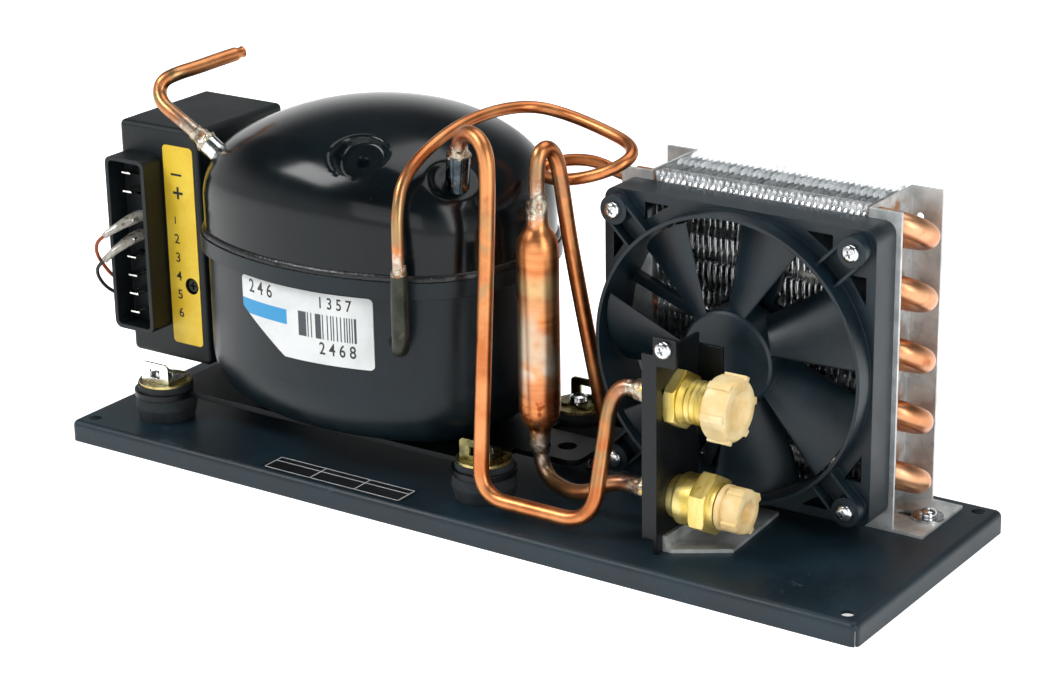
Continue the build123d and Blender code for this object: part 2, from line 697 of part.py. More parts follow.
def piston():
    """Plain piston with its wrist pin and grooves for oil."""
    start = SHELL_X + PISTON_START
    body = rod((start, 0, CRANK_Z), (1, 0, 0), CYLINDER_BORE - 2 * FIT, PISTON_LENGTH)
    body -= rod((start - 1, 0, CRANK_Z), (1, 0, 0), CYLINDER_BORE - 6.0, PISTON_LENGTH - 2)
    pin_x = start + PISTON_LENGTH * 0.45
    body += rod((pin_x, 0, CRANK_Z - CYLINDER_BORE / 2 + 1.5), (0, 0, 1), WRIST_PIN_D,
                CYLINDER_BORE - 3.0)
    return body


def connecting_rod():
    """Rod from the wrist pin to an eye that gives the crank pin room all round."""
    start = SHELL_X + PISTON_START
    pin_x = start + PISTON_LENGTH * 0.45
    eye_bore = CRANK_PIN_D + 4 * CRANK_THROW + 2 * CLEAR
    eye_outer = eye_bore + 2 * ROD_EYE_RIM
    base_z = CRANK_Z - ROD_THICK / 2
    body = rod((SHELL_X, 0, base_z), (0, 0, 1), eye_outer, ROD_THICK)
    body += block(SHELL_X + eye_bore / 2 + 0.8, pin_x, -3.0, 3.0, base_z, base_z + ROD_THICK)
    body += rod((pin_x, 0, base_z), (0, 0, 1), WRIST_PIN_D + 4, ROD_THICK)
    body -= rod((SHELL_X, 0, base_z - 1), (0, 0, 1), eye_bore, ROD_THICK + 2)
    body -= rod((pin_x, 0, base_z - 1), (0, 0, 1), WRIST_PIN_D + 2 * FIT, ROD_THICK + 2)
    return body


def suspension_springs():
    """Four close-wound springs between the pot's floor and the stator."""
    floor = FOOT_PLATE_Z + FOOT_PLATE_SHEET + SHELL_WALL
    turn = (STATOR_BOTTOM_Z - floor) / SPRING_TURNS
    outer = SPRING_D / 2
    points = [(outer - turn * 0.7, 0)]
    for i in range(SPRING_TURNS):
        points.append((outer - turn * 0.3, i * turn))
        points.append((outer, (i + 0.5) * turn))
    points.append((outer - turn * 0.3, SPRING_TURNS * turn))
    points.append((outer - turn * 0.7, SPRING_TURNS * turn))
    return [turned(points, (SHELL_X + i * SPRING_X, k * SPRING_Y, floor))
            for i in (-1, 1) for k in (-1, 1)]


def internal_discharge_tube():
    """Thin tube from the cylinder head down to the discharge stub."""
    head_x = SHELL_X + CYLINDER_END + HEAD_THICK
    points = [(head_x, -8.0, CRANK_Z - 8), (head_x + 8, -8.0, CRANK_Z - 8),
              (head_x + 8, -30.0, 90.0), (-24.0, -40.0, 78.0),
              between(DISCHARGE_EXIT, discharge_elbow(), -0.12)]
    return pipe(points, [5.0, 6.0, 4.0], INNER_TUBE_D, 0.6)


def electronics_housing():
    """Moulded box of the electronic unit, open toward its cover."""
    split = UNIT_LEFT + UNIT_COVER
    outer = block(split, UNIT_RIGHT, UNIT_FRONT, UNIT_BACK, UNIT_BOTTOM, UNIT_TOP)
    outer = fillet(outer.edges().filter_by(Axis.X) + outer.faces().sort_by(Axis.X)[-1].edges(),
                   UNIT_EDGE_R)
    outer -= block(split - 1, UNIT_RIGHT - UNIT_WALL, UNIT_FRONT + UNIT_WALL,
                   UNIT_BACK - UNIT_WALL, UNIT_BOTTOM + UNIT_WALL, UNIT_TOP - UNIT_WALL)
    boss = rod((HOUSING_SCREW_X, UNIT_FRONT + UNIT_WALL, HOUSING_SCREW_Z), (0, 1, 0), 10.0, 12.0)
    outer += boss
    outer -= rod((HOUSING_SCREW_X, UNIT_FRONT - 1, HOUSING_SCREW_Z), (0, 1, 0),
                 HOUSING_SCREW_WELL_D, 1 + HOUSING_SCREW_SINK)
    outer -= rod((HOUSING_SCREW_X, UNIT_FRONT, HOUSING_SCREW_Z), (0, 1, 0), 3.0, 12.0)
    outer -= rod((UNIT_RIGHT - 5, 0, TERMINAL_Z), (1, 0, 0), TERMINAL_D + 2, 10)
    for z in blade_heights():
        outer -= blade_slot(z)
    groove_x = UNIT_RIGHT - 0.6
    outer -= block(groove_x, UNIT_RIGHT + 1, UNIT_FRONT + 6, UNIT_FRONT + 7.6, 42, 88)
    tab = block(UNIT_RIGHT - 1, UNIT_RIGHT + 1.0, UNIT_FRONT + 4, UNIT_FRONT + 9, 103, 105.5)
    return outer + tab


def electronics_cover():
    """Shallow cover on the far side of the electronic unit."""
    split = UNIT_LEFT + UNIT_COVER
    outer = block(UNIT_LEFT, split, UNIT_FRONT, UNIT_BACK, UNIT_BOTTOM, UNIT_TOP)
    outer = fillet(outer.edges().filter_by(Axis.X) + outer.faces().sort_by(Axis.X)[0].edges(),
                   UNIT_EDGE_R)
    outer -= block(UNIT_LEFT + UNIT_WALL, split + 1, UNIT_FRONT + UNIT_WALL,
                   UNIT_BACK - UNIT_WALL, UNIT_BOTTOM + UNIT_WALL, UNIT_TOP - UNIT_WALL)
    for z in blade_heights():
        outer -= blade_slot(z)
    return outer


def blade_heights():
    """Heights of the terminal blades, from the top down."""
    return [BLADE_TOP_Z - i * BLADE_PITCH for i in range(BLADE_COUNT)]


def blade_slot(z):
    """Slot in the front wall for one terminal blade."""
    half = BLADE_WIDTH / 2 + FIT
    return block(BLADE_X - half, BLADE_X + half, UNIT_FRONT - 2, UNIT_FRONT + UNIT_WALL + 1,
                 z - BLADE_THICK / 2 - FIT, z + BLADE_THICK / 2 + FIT)


def circuit_board():
    """Board standing in the box, with its tall components."""
    board_x = UNIT_LEFT + UNIT_COVER + 6
    board = block(board_x, board_x + 1.6, UNIT_FRONT + UNIT_WALL, UNIT_BACK - UNIT_WALL,
                  UNIT_BOTTOM + UNIT_WALL + 3, UNIT_TOP - UNIT_WALL - 3)
    for z, size in ((110.0, 12.0), (92.0, 9.0), (50.0, 14.0)):
        board += rod((board_x + 1.6, 14.0, z), (1, 0, 0), size, 16.0)
    board += block(board_x + 1.6, board_x + 14, -12, 2, 98, 122)
    return board


def terminal_shroud():
    """Rounded frame that stands proud of the front around the blades."""
    size = (SHROUD_RIGHT - SHROUD_LEFT, SHROUD_TOP - SHROUD_BOTTOM)
    centre = ((SHROUD_LEFT + SHROUD_RIGHT) / 2, (SHROUD_BOTTOM + SHROUD_TOP) / 2)
    outer = RectangleRounded(size[0], size[1], SHROUD_CORNER_R)
    inner = RectangleRounded(size[0] - 2 * SHROUD_WALL, size[1] - 2 * SHROUD_WALL,
                             SHROUD_CORNER_R - SHROUD_WALL * 0.8)
    place = Pos(centre[0], UNIT_FRONT, centre[1]) * Rot(90, 0, 0)
    frame = place * extrude(outer - inner, SHROUD_DEPTH)
    floor = place * extrude(outer, 1.2)
    for z in blade_heights():
        floor -= blade_slot(z)
    return frame + floor


def terminal_blades():
    """Eight flat blades through the front wall."""
    blades = []
    half = BLADE_WIDTH / 2
    for z in blade_heights():
        blade = block(BLADE_X - half, BLADE_X + half, UNIT_FRONT - BLADE_LENGTH,
                      UNIT_FRONT + UNIT_WALL + 3, z - BLADE_THICK / 2, z + BLADE_THICK / 2)
        tip = blade.edges().filter_by(Axis.Z).group_by(Axis.Y)[0]
        blade = chamfer(tip, 1.4)
        blade -= rod((BLADE_X, UNIT_FRONT - BLADE_LENGTH * 0.62, z - 2), (0, 0, 1), 1.6, 4)
        blades.append(blade)
    return blades


def housing_screw():
    """Screw sunk in the front of the electronic unit."""
    seat = UNIT_FRONT + HOUSING_SCREW_SINK
    head = rod((HOUSING_SCREW_X, seat - 1.6, HOUSING_SCREW_Z), (0, 1, 0), HOUSING_SCREW_D, 1.6)
    slots = Box(3.6, 1.6, 0.8) + Box(0.8, 1.6, 3.6)
    head -= Pos(HOUSING_SCREW_X, seat - 1.6, HOUSING_SCREW_Z) * slots
    return head + rod((HOUSING_SCREW_X, seat, HOUSING_SCREW_Z), (0, 1, 0), 3.0 - 2 * FIT, 9.0)


def terminal_label():
    """Printed strip beside the terminals, holed over the housing screw."""
    centre = ((STRIP_LEFT + STRIP_RIGHT) / 2, (STRIP_BOTTOM + STRIP_TOP) / 2)
    plan = RectangleRounded(STRIP_RIGHT - STRIP_LEFT, STRIP_TOP - STRIP_BOTTOM, STRIP_CORNER_R)
    strip = Pos(centre[0], UNIT_FRONT, centre[1]) * Rot(90, 0, 0) * extrude(plan, STRIP_SHEET)
    return strip - rod((HOUSING_SCREW_X, UNIT_FRONT - 2, HOUSING_SCREW_Z), (0, 1, 0),
                       HOUSING_SCREW_WELL_D, 4)


def spade_connectors():
    """Two sleeved spade receptacles pushed on their blades."""
    spades = []
    for index in LEAD_BLADES:
        z = blade_heights()[index]
        y0 = UNIT_FRONT - 2.0
        body = block(BLADE_X - 4.0, BLADE_X + 4.0, y0 - 9.5, y0, z - 1.8, z + 1.8)
        body = fillet(body.edges().filter_by(Axis.Y), 1.2)
        body -= block(BLADE_X - BLADE_WIDTH / 2 - FIT, BLADE_X + BLADE_WIDTH / 2 + FIT, y0 - 8.6,
                      y0 + 1, z - BLADE_THICK / 2 - FIT, z + BLADE_THICK / 2 + FIT)
        body += turned([(0, 0), (2.3, 0), (2.1, 5), (1.3, 9), (0, 9)], (BLADE_X, y0 - 10.6, z),
                       SPADE_TAIL)
        spades.append(body)
    return spades


SPADE_TAIL = (-0.75, -0.58, -0.32)


def fan_lead(index, side):
    """One fan lead, from its spade round behind the unit and along the tray to the fan."""
    z = blade_heights()[index]
    tail = Vector(*SPADE_TAIL).normalized()
    start = Vector(BLADE_X, UNIT_FRONT - 12.6, z) + tail * 9.1
    first = start + tail * 3.0
    shift = 1.1 * side
    points = [start, first,
              (-190.8, -32.0 + shift, z - 14),
              (-190.8, -20.0 + shift, 58 + shift),
              (-190.6, 36.0 + shift, 50 + shift),
              (-188.0, 42.0 + shift, 16.0),
              (-176.0, 52.0 + shift, LEAD_TRAY_Z),
              (25.7 + shift, 56.0 + shift, LEAD_TRAY_Z),
              (25.7 + shift, LEAD_ENTRY_Y + shift, LEAD_TRAY_Z),
              (LEAD_ENTRY_X, LEAD_ENTRY_Y + shift, LEAD_TRAY_Z),
              (LEAD_ENTRY_X, LEAD_ENTRY_Y + shift, LEAD_ENTRY_Z),
              (FAN_X - FAN_SIZE / 2 + FAN_SKIRT, LEAD_ENTRY_Y + shift, LEAD_ENTRY_Z)]
    radii = [2.0, 5.0, 5.0, 6.0, 5.0, 4.0, 6.0, 6.0, 4.0, 1.4]
    return pipe(points, radii, 2 * LEAD_R, 0)


LEAD_TRAY_Z = TRAY_HEIGHT + LEAD_R + 0.2


def process_tube():
    """Charging tube, bent up and back and pinched shut at its end."""
    inner = between(PROCESS_END, PROCESS_BASE, 0.35)
    points = [inner, between(PROCESS_BASE, PROCESS_END, 1.35), (-160.5, -26.5, 150.0),
              (-157.0, -24.0, 159.0), (-150.5, 11.0, 163.0)]
    tube = pipe(points, [10.0, 4.0, 4.0], PROCESS_TUBE_D, LINE_WALL)
    axis = toward(points[-2], points[-1])
    tip = turned([(0, 0), (PROCESS_TUBE_D / 2, 0), (PROCESS_TUBE_D / 2 - 0.9, 3.0),
                  (PROCESS_TUBE_D / 2 - 0.6, 4.6), (0, 5.2)], points[-1], axis)
    return tube + tip


def suction_tube():
    """Suction line: over the lid's edge, down, across and up to the upper coupling."""
    inside = between(SUCTION_TOP, SUCTION_BASE, 0.35)
    points = [inside, between(SUCTION_BASE, SUCTION_TOP, 1.5), (14.4, -34.5, 154.0),
              (17.8, -50.5, 16.4), (70.8, -50.5, 16.4), (70.2, COUPLING_Y, UPPER_Z),
              (COUPLING_SOCKET_X + 5, COUPLING_Y, UPPER_Z)]
    return pipe(points, [7.0, 8.0, 13.0, 13.0, 10.0], SUCTION_TUBE_D, LINE_WALL)


def discharge_tube():
    """Discharge line: up from its stub, over the lid, and round a loop to the condenser."""
    inlet_x = FAN_X - PLATE_HALF - INLET_REACH
    points = [(DISCHARGE_LEG_X, DISCHARGE_LEG_Y, DISCHARGE_STUB_TOP - SOCKET_DEPTH),
              (DISCHARGE_LEG_X, DISCHARGE_LEG_Y, 117.0), (-16.0, -51.0, 141.0), (-13.5, 2.0, 156.5),
              (-2.0, 27.0, 156.0), (36.0, 24.0, 148.5), (49.0, 11.0, 146.5), (38.0, 3.0, 138.8),
              (20.0, 3.5, 134.5), (9.5, 11.0, 135.5), (15.0, 20.5, 138.3), (32.0, 25.0, 137.5),
              (inlet_x - 5, ROW_FRONT, FRONT_TUBE_Z[0]), (inlet_x + 4, ROW_FRONT, FRONT_TUBE_Z[0])]
    radii = [10.0, 14.0, 12.0, 12.0, 6.0, 6.0, 5.0, 4.0, 4.0, 8.0, 4.0, 3.0]
    return pipe(points, radii, DISCHARGE_TUBE_D, LINE_WALL)


def filter_drier():
    """Spun copper drier shell with a neck at each end."""
    outer = DRIER_D / 2
    neck = DRIER_LINE_D / 2 + 1.0
    low = DRIER_BOTTOM
    high = DRIER_TOP
    profile = [(DRIER_LINE_D / 2 + FIT, low - DRIER_NECK), (neck, low - DRIER_NECK), (neck, low - 1),
               (outer * 0.8, low + 1.5), (outer, low + DRIER_SHOULDER), (outer, high - DRIER_SHOULDER),
               (outer * 0.8, high - 1.5), (neck, high + 1), (neck, high + DRIER_NECK),
               (DRIER_LINE_D / 2 + FIT, high + DRIER_NECK), (DRIER_LINE_D / 2 + FIT, high),
               (outer - LINE_WALL, high - DRIER_SHOULDER), (outer - LINE_WALL, low + DRIER_SHOULDER),
               (DRIER_LINE_D / 2 + FIT, low)]
    return turned(profile, (DRIER_X, DRIER_Y, 0))


def drier_inlet_tube():
    """Line from the condenser's outlet up and over into the drier."""
    outlet_x = FAN_X - PLATE_HALF - OUTLET_REACH
    points = [(outlet_x + 8, ROW_BACK, BACK_TUBE_Z[-1]), (outlet_x - 1, ROW_BACK, BACK_TUBE_Z[-1]),
              (38.0, 14.0, BACK_TUBE_Z[-1] + 1), (DRIER_X + 4.5, -4.0, 118.0), (DRIER_X + 2.0, -9.5, 149.5),
              (DRIER_X, DRIER_Y, 149.5), (DRIER_X, DRIER_Y, DRIER_TOP + 2)]
    return pipe(points, [6.0, 12.0, 20.0, 5.0, 5.0], DRIER_LINE_D, LINE_WALL)


def liquid_tube():
    """Line from the drier's foot to the lower coupling."""
    points = [(DRIER_X, DRIER_Y, DRIER_BOTTOM - 2), (DRIER_X, DRIER_Y, 25.5), (36.0, -25.0, 17.0),
              (56.0, COUPLING_Y, 20.5), (70.0, COUPLING_Y, LOWER_Z), (COUPLING_SOCKET_X + 5, COUPLING_Y, LOWER_Z)]
    return pipe(points, [7.0, 8.0, 12.0, 12.0], LIQUID_TUBE_D, LINE_WALL)


def fin_xs():
    """Places of the fins along the finned length."""
    first = FAN_X - PLATE_HALF + FIN_END_GAP
    step = (2 * PLATE_HALF - 2 * FIN_END_GAP) / (FIN_COUNT - 1)
    return [first + i * step for i in range(FIN_COUNT)]


def condenser_fins():
    """Stack of fins on the tubes, each with a collar hole per tube."""
    front = PLATE_FRONT + FIN_INSET
    back = PLATE_FRONT + PLATE_DEPTH - FIN_INSET
    low = TRAY_HEIGHT + FIN_BOTTOM_LIFT
    fin = Pos(0, (front + back) / 2, (low + PLATE_TOP) / 2) * Rot(0, 90, 0) * Rectangle(
        PLATE_TOP - low, back - front)
    collar_radius = (TUBE_D / 2 + FIT) / math.cos(math.pi / 6)
    for y, z in TUBE_PLACES:
        fin -= Pos(0, y, z) * Rot(0, 90, 0) * RegularPolygon(collar_radius, 6)
    sheet = extrude(fin, FIN_SHEET / 2, both=True)
    return [Pos(x, 0, 0) * sheet for x in fin_xs()]


def condenser_tubes():
    """Ten straight tubes through the fins and both end plates."""
    left = FAN_X - PLATE_HALF - TUBE_END
    right = FAN_X + PLATE_HALF + TUBE_END
    tubes = []
    for y, z in TUBE_PLACES:
        start = left
        if (y, z) == (ROW_FRONT, FRONT_TUBE_Z[0]):
            start = FAN_X - PLATE_HALF - INLET_REACH
        if (y, z) == (ROW_BACK, BACK_TUBE_Z[-1]):
            start = FAN_X - PLATE_HALF - OUTLET_REACH
        tubes.append(collar((start, y, z), (1, 0, 0), TUBE_D, TUBE_D - 2 * TUBE_WALL, right - start))
    return tubes


def return_bend(x, side, a, b):
    """Half-turn bend from tube end a to tube end b on one side of the condenser."""
    gap = math.hypot(b[0] - a[0], b[1] - a[1])
    reach = side * gap / 2
    points = [(x, a[0], a[1]), (x + reach, a[0], a[1]), (x + reach, b[0], b[1]), (x, b[0], b[1])]
    arc = ThreePointArc(points[0], (x + reach, (a[0] + b[0]) / 2, (a[1] + b[1]) / 2), points[3])
    start = Plane(origin=arc @ 0, z_dir=arc % 0)
    return sweep(start * Circle(TUBE_D / 2), arc) - sweep(start * Circle(TUBE_D / 2 - TUBE_WALL), arc)


def return_bends():
    """Five bends across the rows on the right, four between heights on the left."""
    right = FAN_X + PLATE_HALF + TUBE_END
    left = FAN_X - PLATE_HALF - TUBE_END
    bends = [return_bend(right, 1, (ROW_FRONT, f), (ROW_BACK, b))
             for f, b in zip(FRONT_TUBE_Z, BACK_TUBE_Z)]
    bends += [return_bend(left, -1, (ROW_BACK, b), (ROW_FRONT, f))
              for b, f in zip(BACK_TUBE_Z[:-1], FRONT_TUBE_Z[1:])]
    return bends


def end_plate(side):
    """Channel-shaped end plate, flanges outward, with a slotted foot on the tray."""
    web = FAN_X + side * PLATE_HALF
    skin = web + side * PLATE_SHEET
    tip = web + side * PLATE_FLANGE
    back = PLATE_FRONT + PLATE_DEPTH
    plate = block(web, skin, PLATE_FRONT, back, TRAY_HEIGHT, PLATE_TOP)
    plate += block(web, tip, PLATE_FRONT, PLATE_FRONT + PLATE_SHEET, TRAY_HEIGHT, PLATE_TOP)
    plate += block(web, tip, back - PLATE_SHEET, back, TRAY_HEIGHT, PLATE_TOP)
    foot_tip = web + side * PLATE_FOOT
    plate += block(web, foot_tip, PLATE_FRONT, back, TRAY_HEIGHT, TRAY_HEIGHT + PLATE_SHEET)
    for y, z in TUBE_PLACES:
        plate -= rod((web - side * 3, y, z), (side, 0, 0), TUBE_D + 2 * FIT, 8)
    slot_x = web + side * (PLATE_FOOT - 6.5 - SLOT_LENGTH / 2 + SLOT_WIDTH / 2)
    slot = SlotOverall(SLOT_LENGTH, SLOT_WIDTH)
    plate -= Pos(slot_x, FOOT_SCREW_Y, TRAY_HEIGHT - 1) * extrude(slot, 4)
    hole_z = PLATE_TOP - FLANGE_HOLE_DROP
    hole_x = web + side * PLATE_FLANGE * 0.33
    plate -= rod((hole_x, back - 3, hole_z), (0, 1, 0), FLANGE_HOLE_D, 5)
    for x, z in FAN_CORNERS:
        if abs(x - web) < PLATE_FLANGE:
            plate -= rod((x, PLATE_FRONT - 1, z), (0, 1, 0), SCREW_D + 2 * FIT, 4)
    return plate


def pan_head_screws():
    """Screws that hold the end plates and the bracket foot to the tray, and one in the bracket's tab."""
    foot_top = TRAY_HEIGHT + PLATE_SHEET
    screws = []
    for x, y in foot_screw_places()[:2]:
        screws.append(pan_screw((x, y, foot_top), (0, 0, 1), 7.0, washer=True))
    x, y = BRACKET_FOOT_SCREW
    screws.append(pan_screw((x, y, TRAY_HEIGHT + BRACKET_SHEET), (0, 0, 1), 7.0))
    tab_x, tab_z = bracket_screw_place()
    screws.append(pan_screw((tab_x, BRACKET_FRONT, tab_z), (0, -1, 0), 7.0))
    return screws


def fan_frame():
    """Moulded frame: mouth ring, square skirt, ear tubes, diagonal channels and rear struts."""
    back = PLATE_FRONT
    plate_y = back - FLANGE_DEPTH
    centre = Pos(FAN_X, 0, FAN_Z) * Rot(-90, 0, 0)
    square = RectangleRounded(FAN_SIZE, FAN_SIZE, FAN_CORNER_R)
    inner_size = FAN_SIZE - 2 * FAN_SKIRT
    inner = RectangleRounded(inner_size, inner_size, FAN_CORNER_R - FAN_SKIRT)
    bore = Circle(RING_INNER_D / 2)
    face = Pos(0, plate_y, 0) * centre * extrude(square - bore, FAN_PLATE)
    skirt = Pos(0, plate_y, 0) * centre * extrude(square - inner, FLANGE_DEPTH)
    mouth = Pos(0, FAN_FRONT, 0) * centre * extrude(Circle(RING_OUTER_D / 2) - bore, FAN_DEPTH)
    frame = face + skirt + mouth
    boss_y = FAN_FRONT + BOSS_RECESS
    half = FAN_HOLE_PITCH / 2
    for x, z in FAN_CORNERS:
        frame += rod((x, boss_y, z), (0, 1, 0), BOSS_D, back - boss_y)
    for i in (-1, 1):
        for k in (-1, 1):
            frame += channel_ribs(i, k, plate_y)
            frame -= corner_pocket(i, k, plate_y)
    hub_y = back - MOTOR_PLATE
    frame += Pos(0, hub_y, 0) * centre * extrude(Circle(MOTOR_PLATE_D / 2), MOTOR_PLATE)
    for angle in (20, 110, 200, 290):
        strut = Pos((MOTOR_PLATE_D / 2 + RING_INNER_D / 2) / 2, 0) * Rectangle(
            (RING_INNER_D - MOTOR_PLATE_D) / 2 + 2, STRUT_WIDTH)
        frame += Pos(0, back - STRUT_DEPTH, 0) * centre * extrude(Rot(0, 0, angle) * strut, STRUT_DEPTH)
    sleeve_len = 13.0
    frame += rod((FAN_X, hub_y - sleeve_len, FAN_Z), (0, 1, 0), BEARING_SLEEVE_D, sleeve_len)
    frame -= rod((FAN_X, hub_y - sleeve_len - 1, FAN_Z), (0, 1, 0), BEARING_SLEEVE_BORE, sleeve_len + 1)
    for x, z in FAN_CORNERS:
        frame -= rod((x, boss_y - 1, z), (0, 1, 0), FAN_HOLE_D, back - boss_y + 2)
    lead_hole = Pos(FAN_X - FAN_SIZE / 2, LEAD_ENTRY_Y, LEAD_ENTRY_Z) * Box(3 * FAN_SKIRT, 4.6, 2.6)
    frame -= lead_hole
    return frame


def channel_ribs(i, k, plate_y):
    """Two ribs that join an ear tube to the mouth ring."""
    half = FAN_HOLE_PITCH / 2
    reach = math.hypot(half, half)
    start = RING_OUTER_D / 2 - 0.5
    front = FAN_FRONT + BOSS_RECESS + 0.6
    bars = None
    for side in (-1, 1):
        offset = side * (BOSS_D / 2 - RIB_THICK / 2)
        bar = Pos((start + reach) / 2, offset) * Rectangle(reach - start, RIB_THICK)
        bars = bar if bars is None else bars + bar
    angle = math.degrees(math.atan2(k, i))
    place = Pos(FAN_X, front, FAN_Z) * Rot(-90, 0, 0)
    return place * extrude(Rot(0, 0, -angle) * bars, plate_y - front + 1)


def corner_pocket(i, k, plate_y):
    """Triangular windows beside each ear in the skirt's face."""
    half = FAN_SIZE / 2
    pockets = None
    for swap in (False, True):
        a = (half - 4.0, 30.5)
        b = (half - 4.0, 41.5)
        c = (half - 11.5, 41.5)
        corners = [a, b, c]
        if swap:
            corners = [(q, p) for p, q in corners]
        corners = [(FAN_X + i * p, FAN_Z + k * q) for p, q in corners]
        face = make_face(Polyline(*[(p, plate_y - 1, q) for p, q in corners], close=True))
        cut = extrude(face, FAN_PLATE + 2, dir=(0, 1, 0))
        pockets = cut if pockets is None else pockets + cut
    return pockets


def fan_blade():
    """One swept blade, lofted between a root and a tip section and trimmed to the running gap."""
    sections = []
    for radius, chord, pitch, sweep_angle in (
            (HUB_D / 2 - 3, BLADE_ROOT_CHORD, BLADE_ROOT_PITCH, 0),
            (BLADE_TIP_D / 2 + 4, BLADE_TIP_CHORD, BLADE_TIP_PITCH, BLADE_SWEEP)):
        half = chord / 2
        bow = chord * 0.07
        outline = ThreePointArc((-half, 0), (0, bow), (half, 0)) + ThreePointArc(
            (half, 0), (0, bow + BLADE_SHEET), (-half, 0))
        face = Rot(0, 0, pitch) * make_face(outline)
        plane = Plane(origin=(0, 0, radius), x_dir=(0, 1, 0), z_dir=(0, 0, 1))
        sections.append(Rot(0, sweep_angle, 0) * (plane * face))
    blade = loft(sections)
    trim = rod((0, -20, 0), (0, 1, 0), BLADE_TIP_D, 40) - rod((0, -20, 0), (0, 1, 0), HUB_D - 1.0, 40)
    return blade & trim


def fan_rotor():
    """Hub cup with seven swept blades and a socket for the shaft."""
    front = FAN_FRONT + HUB_FRONT_GAP
    outer = HUB_D / 2
    cup = turned([(0, 0), (outer - 1.0, 0), (outer, 1.0), (outer, HUB_DEPTH),
                  (outer - HUB_WALL, HUB_DEPTH), (outer - HUB_WALL, 2.0), (3.6, 2.0), (3.6, 5.0),
                  (FAN_SHAFT_D / 2, 5.0), (FAN_SHAFT_D / 2, 2.0), (0, 2.0)],
                 (FAN_X, front, FAN_Z), (0, 1, 0))
    blade = fan_blade()
    middle = front + HUB_DEPTH / 2 - 0.3
    for i in range(BLADE_NUMBER):
        turn = 360.0 / BLADE_NUMBER * i
        cup += Pos(FAN_X, middle, FAN_Z) * Rot(0, turn, 0) * blade
    return cup


def fan_shaft():
    """Steel shaft pressed in the hub and running in the bearing."""
    front = FAN_FRONT + HUB_FRONT_GAP + 2.0
    end = PLATE_FRONT - MOTOR_PLATE - 0.4
    return rod((FAN_X, front, FAN_Z), (0, 1, 0), FAN_SHAFT_D, end - front)


def fan_magnet_ring():
    """Magnet ring inside the hub cup."""
    start = FAN_FRONT + HUB_FRONT_GAP + 5.0
    return collar((FAN_X, start, FAN_Z), (0, 1, 0), HUB_D - 2 * HUB_WALL,
                  HUB_D - 2 * HUB_WALL - 2 * MAGNET_THICK, HUB_DEPTH - 6.0)


def fan_stator():
    """Wound stator on the frame's bearing sleeve."""
    start = FAN_FRONT + HUB_FRONT_GAP + 6.5
    return collar((FAN_X, start, FAN_Z), (0, 1, 0), FAN_STATOR_D, BEARING_SLEEVE_D, HUB_DEPTH - 8.0)


def fan_bearing():
    """Sintered bearing in the frame's sleeve."""
    start = PLATE_FRONT - MOTOR_PLATE - 12.0
    return collar((FAN_X, start, FAN_Z), (0, 1, 0), BEARING_SLEEVE_BORE, FAN_SHAFT_D + 2 * FIT, 12.0)


def fan_screws():
    """Four screws through the ear tubes into the end plate flanges."""
    seat = FAN_FRONT + BOSS_RECESS
    length = PLATE_FRONT - seat + PLATE_SHEET + 2
    return [pan_screw((x, seat, z), (0, -1, 0), length) for x, z in FAN_CORNERS]


def coupling_bracket():
    """Folded sheet bracket that carries both couplings."""
    right = BRACKET_X + BRACKET_SHEET
    plate = block(BRACKET_X, right, BRACKET_FRONT, BRACKET_BACK, TRAY_HEIGHT, BRACKET_TOP)
    lip = block(BRACKET_X - BRACKET_LIP, right, BRACKET_FRONT, BRACKET_FRONT + BRACKET_SHEET,
                TRAY_HEIGHT + 6, BRACKET_TOP)
    wing = block(BRACKET_X, BRACKET_X + BRACKET_WING, BRACKET_BACK - BRACKET_SHEET, BRACKET_BACK,
                 UPPER_Z - 20, BRACKET_WING_TOP)
    tab = block(BRACKET_X, BRACKET_X + BRACKET_TAB, BRACKET_FRONT, BRACKET_FRONT + BRACKET_SHEET,
                BRACKET_TOP - 4, BRACKET_TAB_TOP)
    body = plate + lip + wing + tab
    for z in (UPPER_Z, LOWER_Z):
        body -= rod((BRACKET_X - 1, COUPLING_Y, z), (1, 0, 0), COUPLING_NECK_D + 2 * FIT, 5)
    screw_x, screw_z = bracket_screw_place()
    body -= rod((screw_x, BRACKET_FRONT - 1, screw_z), (0, 1, 0), SCREW_D + 2 * FIT, 5)
    return body


def bracket_screw_place():
    """Place of the screw in the bracket's top tab."""
    return (BRACKET_X + BRACKET_TAB / 2 - 0.2, (BRACKET_TOP + BRACKET_TAB_TOP) / 2 - 0.6)


def bracket_foot():
    """Bare steel foot under the bracket, pointed toward the front, screwed to the tray."""
    x0 = BRACKET_X + BRACKET_SHEET
    plan = make_face(Polyline((x0, -44.0), (x0 + 4, -44.0), (123.0, -31.0), (120.0, 10.0),
                              (x0, 10.0), close=True))
    foot = Pos(0, 0, TRAY_HEIGHT) * extrude(plan, BRACKET_SHEET)
    foot += block(x0, x0 + BRACKET_SHEET, -44.0, BRACKET_BACK, TRAY_HEIGHT, TRAY_HEIGHT + 6.5)
    x, y = BRACKET_FOOT_SCREW
    return foot - rod((x, y, TRAY_HEIGHT - 1), (0, 0, 1), SCREW_D + 2 * FIT, 4)


def thread(start_x, end_x, z):
    """Threaded length: a row of rounded crests."""
    count = int((end_x - start_x) / THREAD_PITCH)
    root = THREAD_D / 2 - 0.8
    points = [(COUPLING_BORE_D / 2, 0), (root, 0)]
    step = (end_x - start_x) / count
    for i in range(count):
        points.append((THREAD_D / 2, (i + 0.5) * step))
        points.append((root, (i + 1) * step))
    points.append((COUPLING_BORE_D / 2, end_x - start_x))
    return turned(points, (start_x, COUPLING_Y, z), (1, 0, 0))


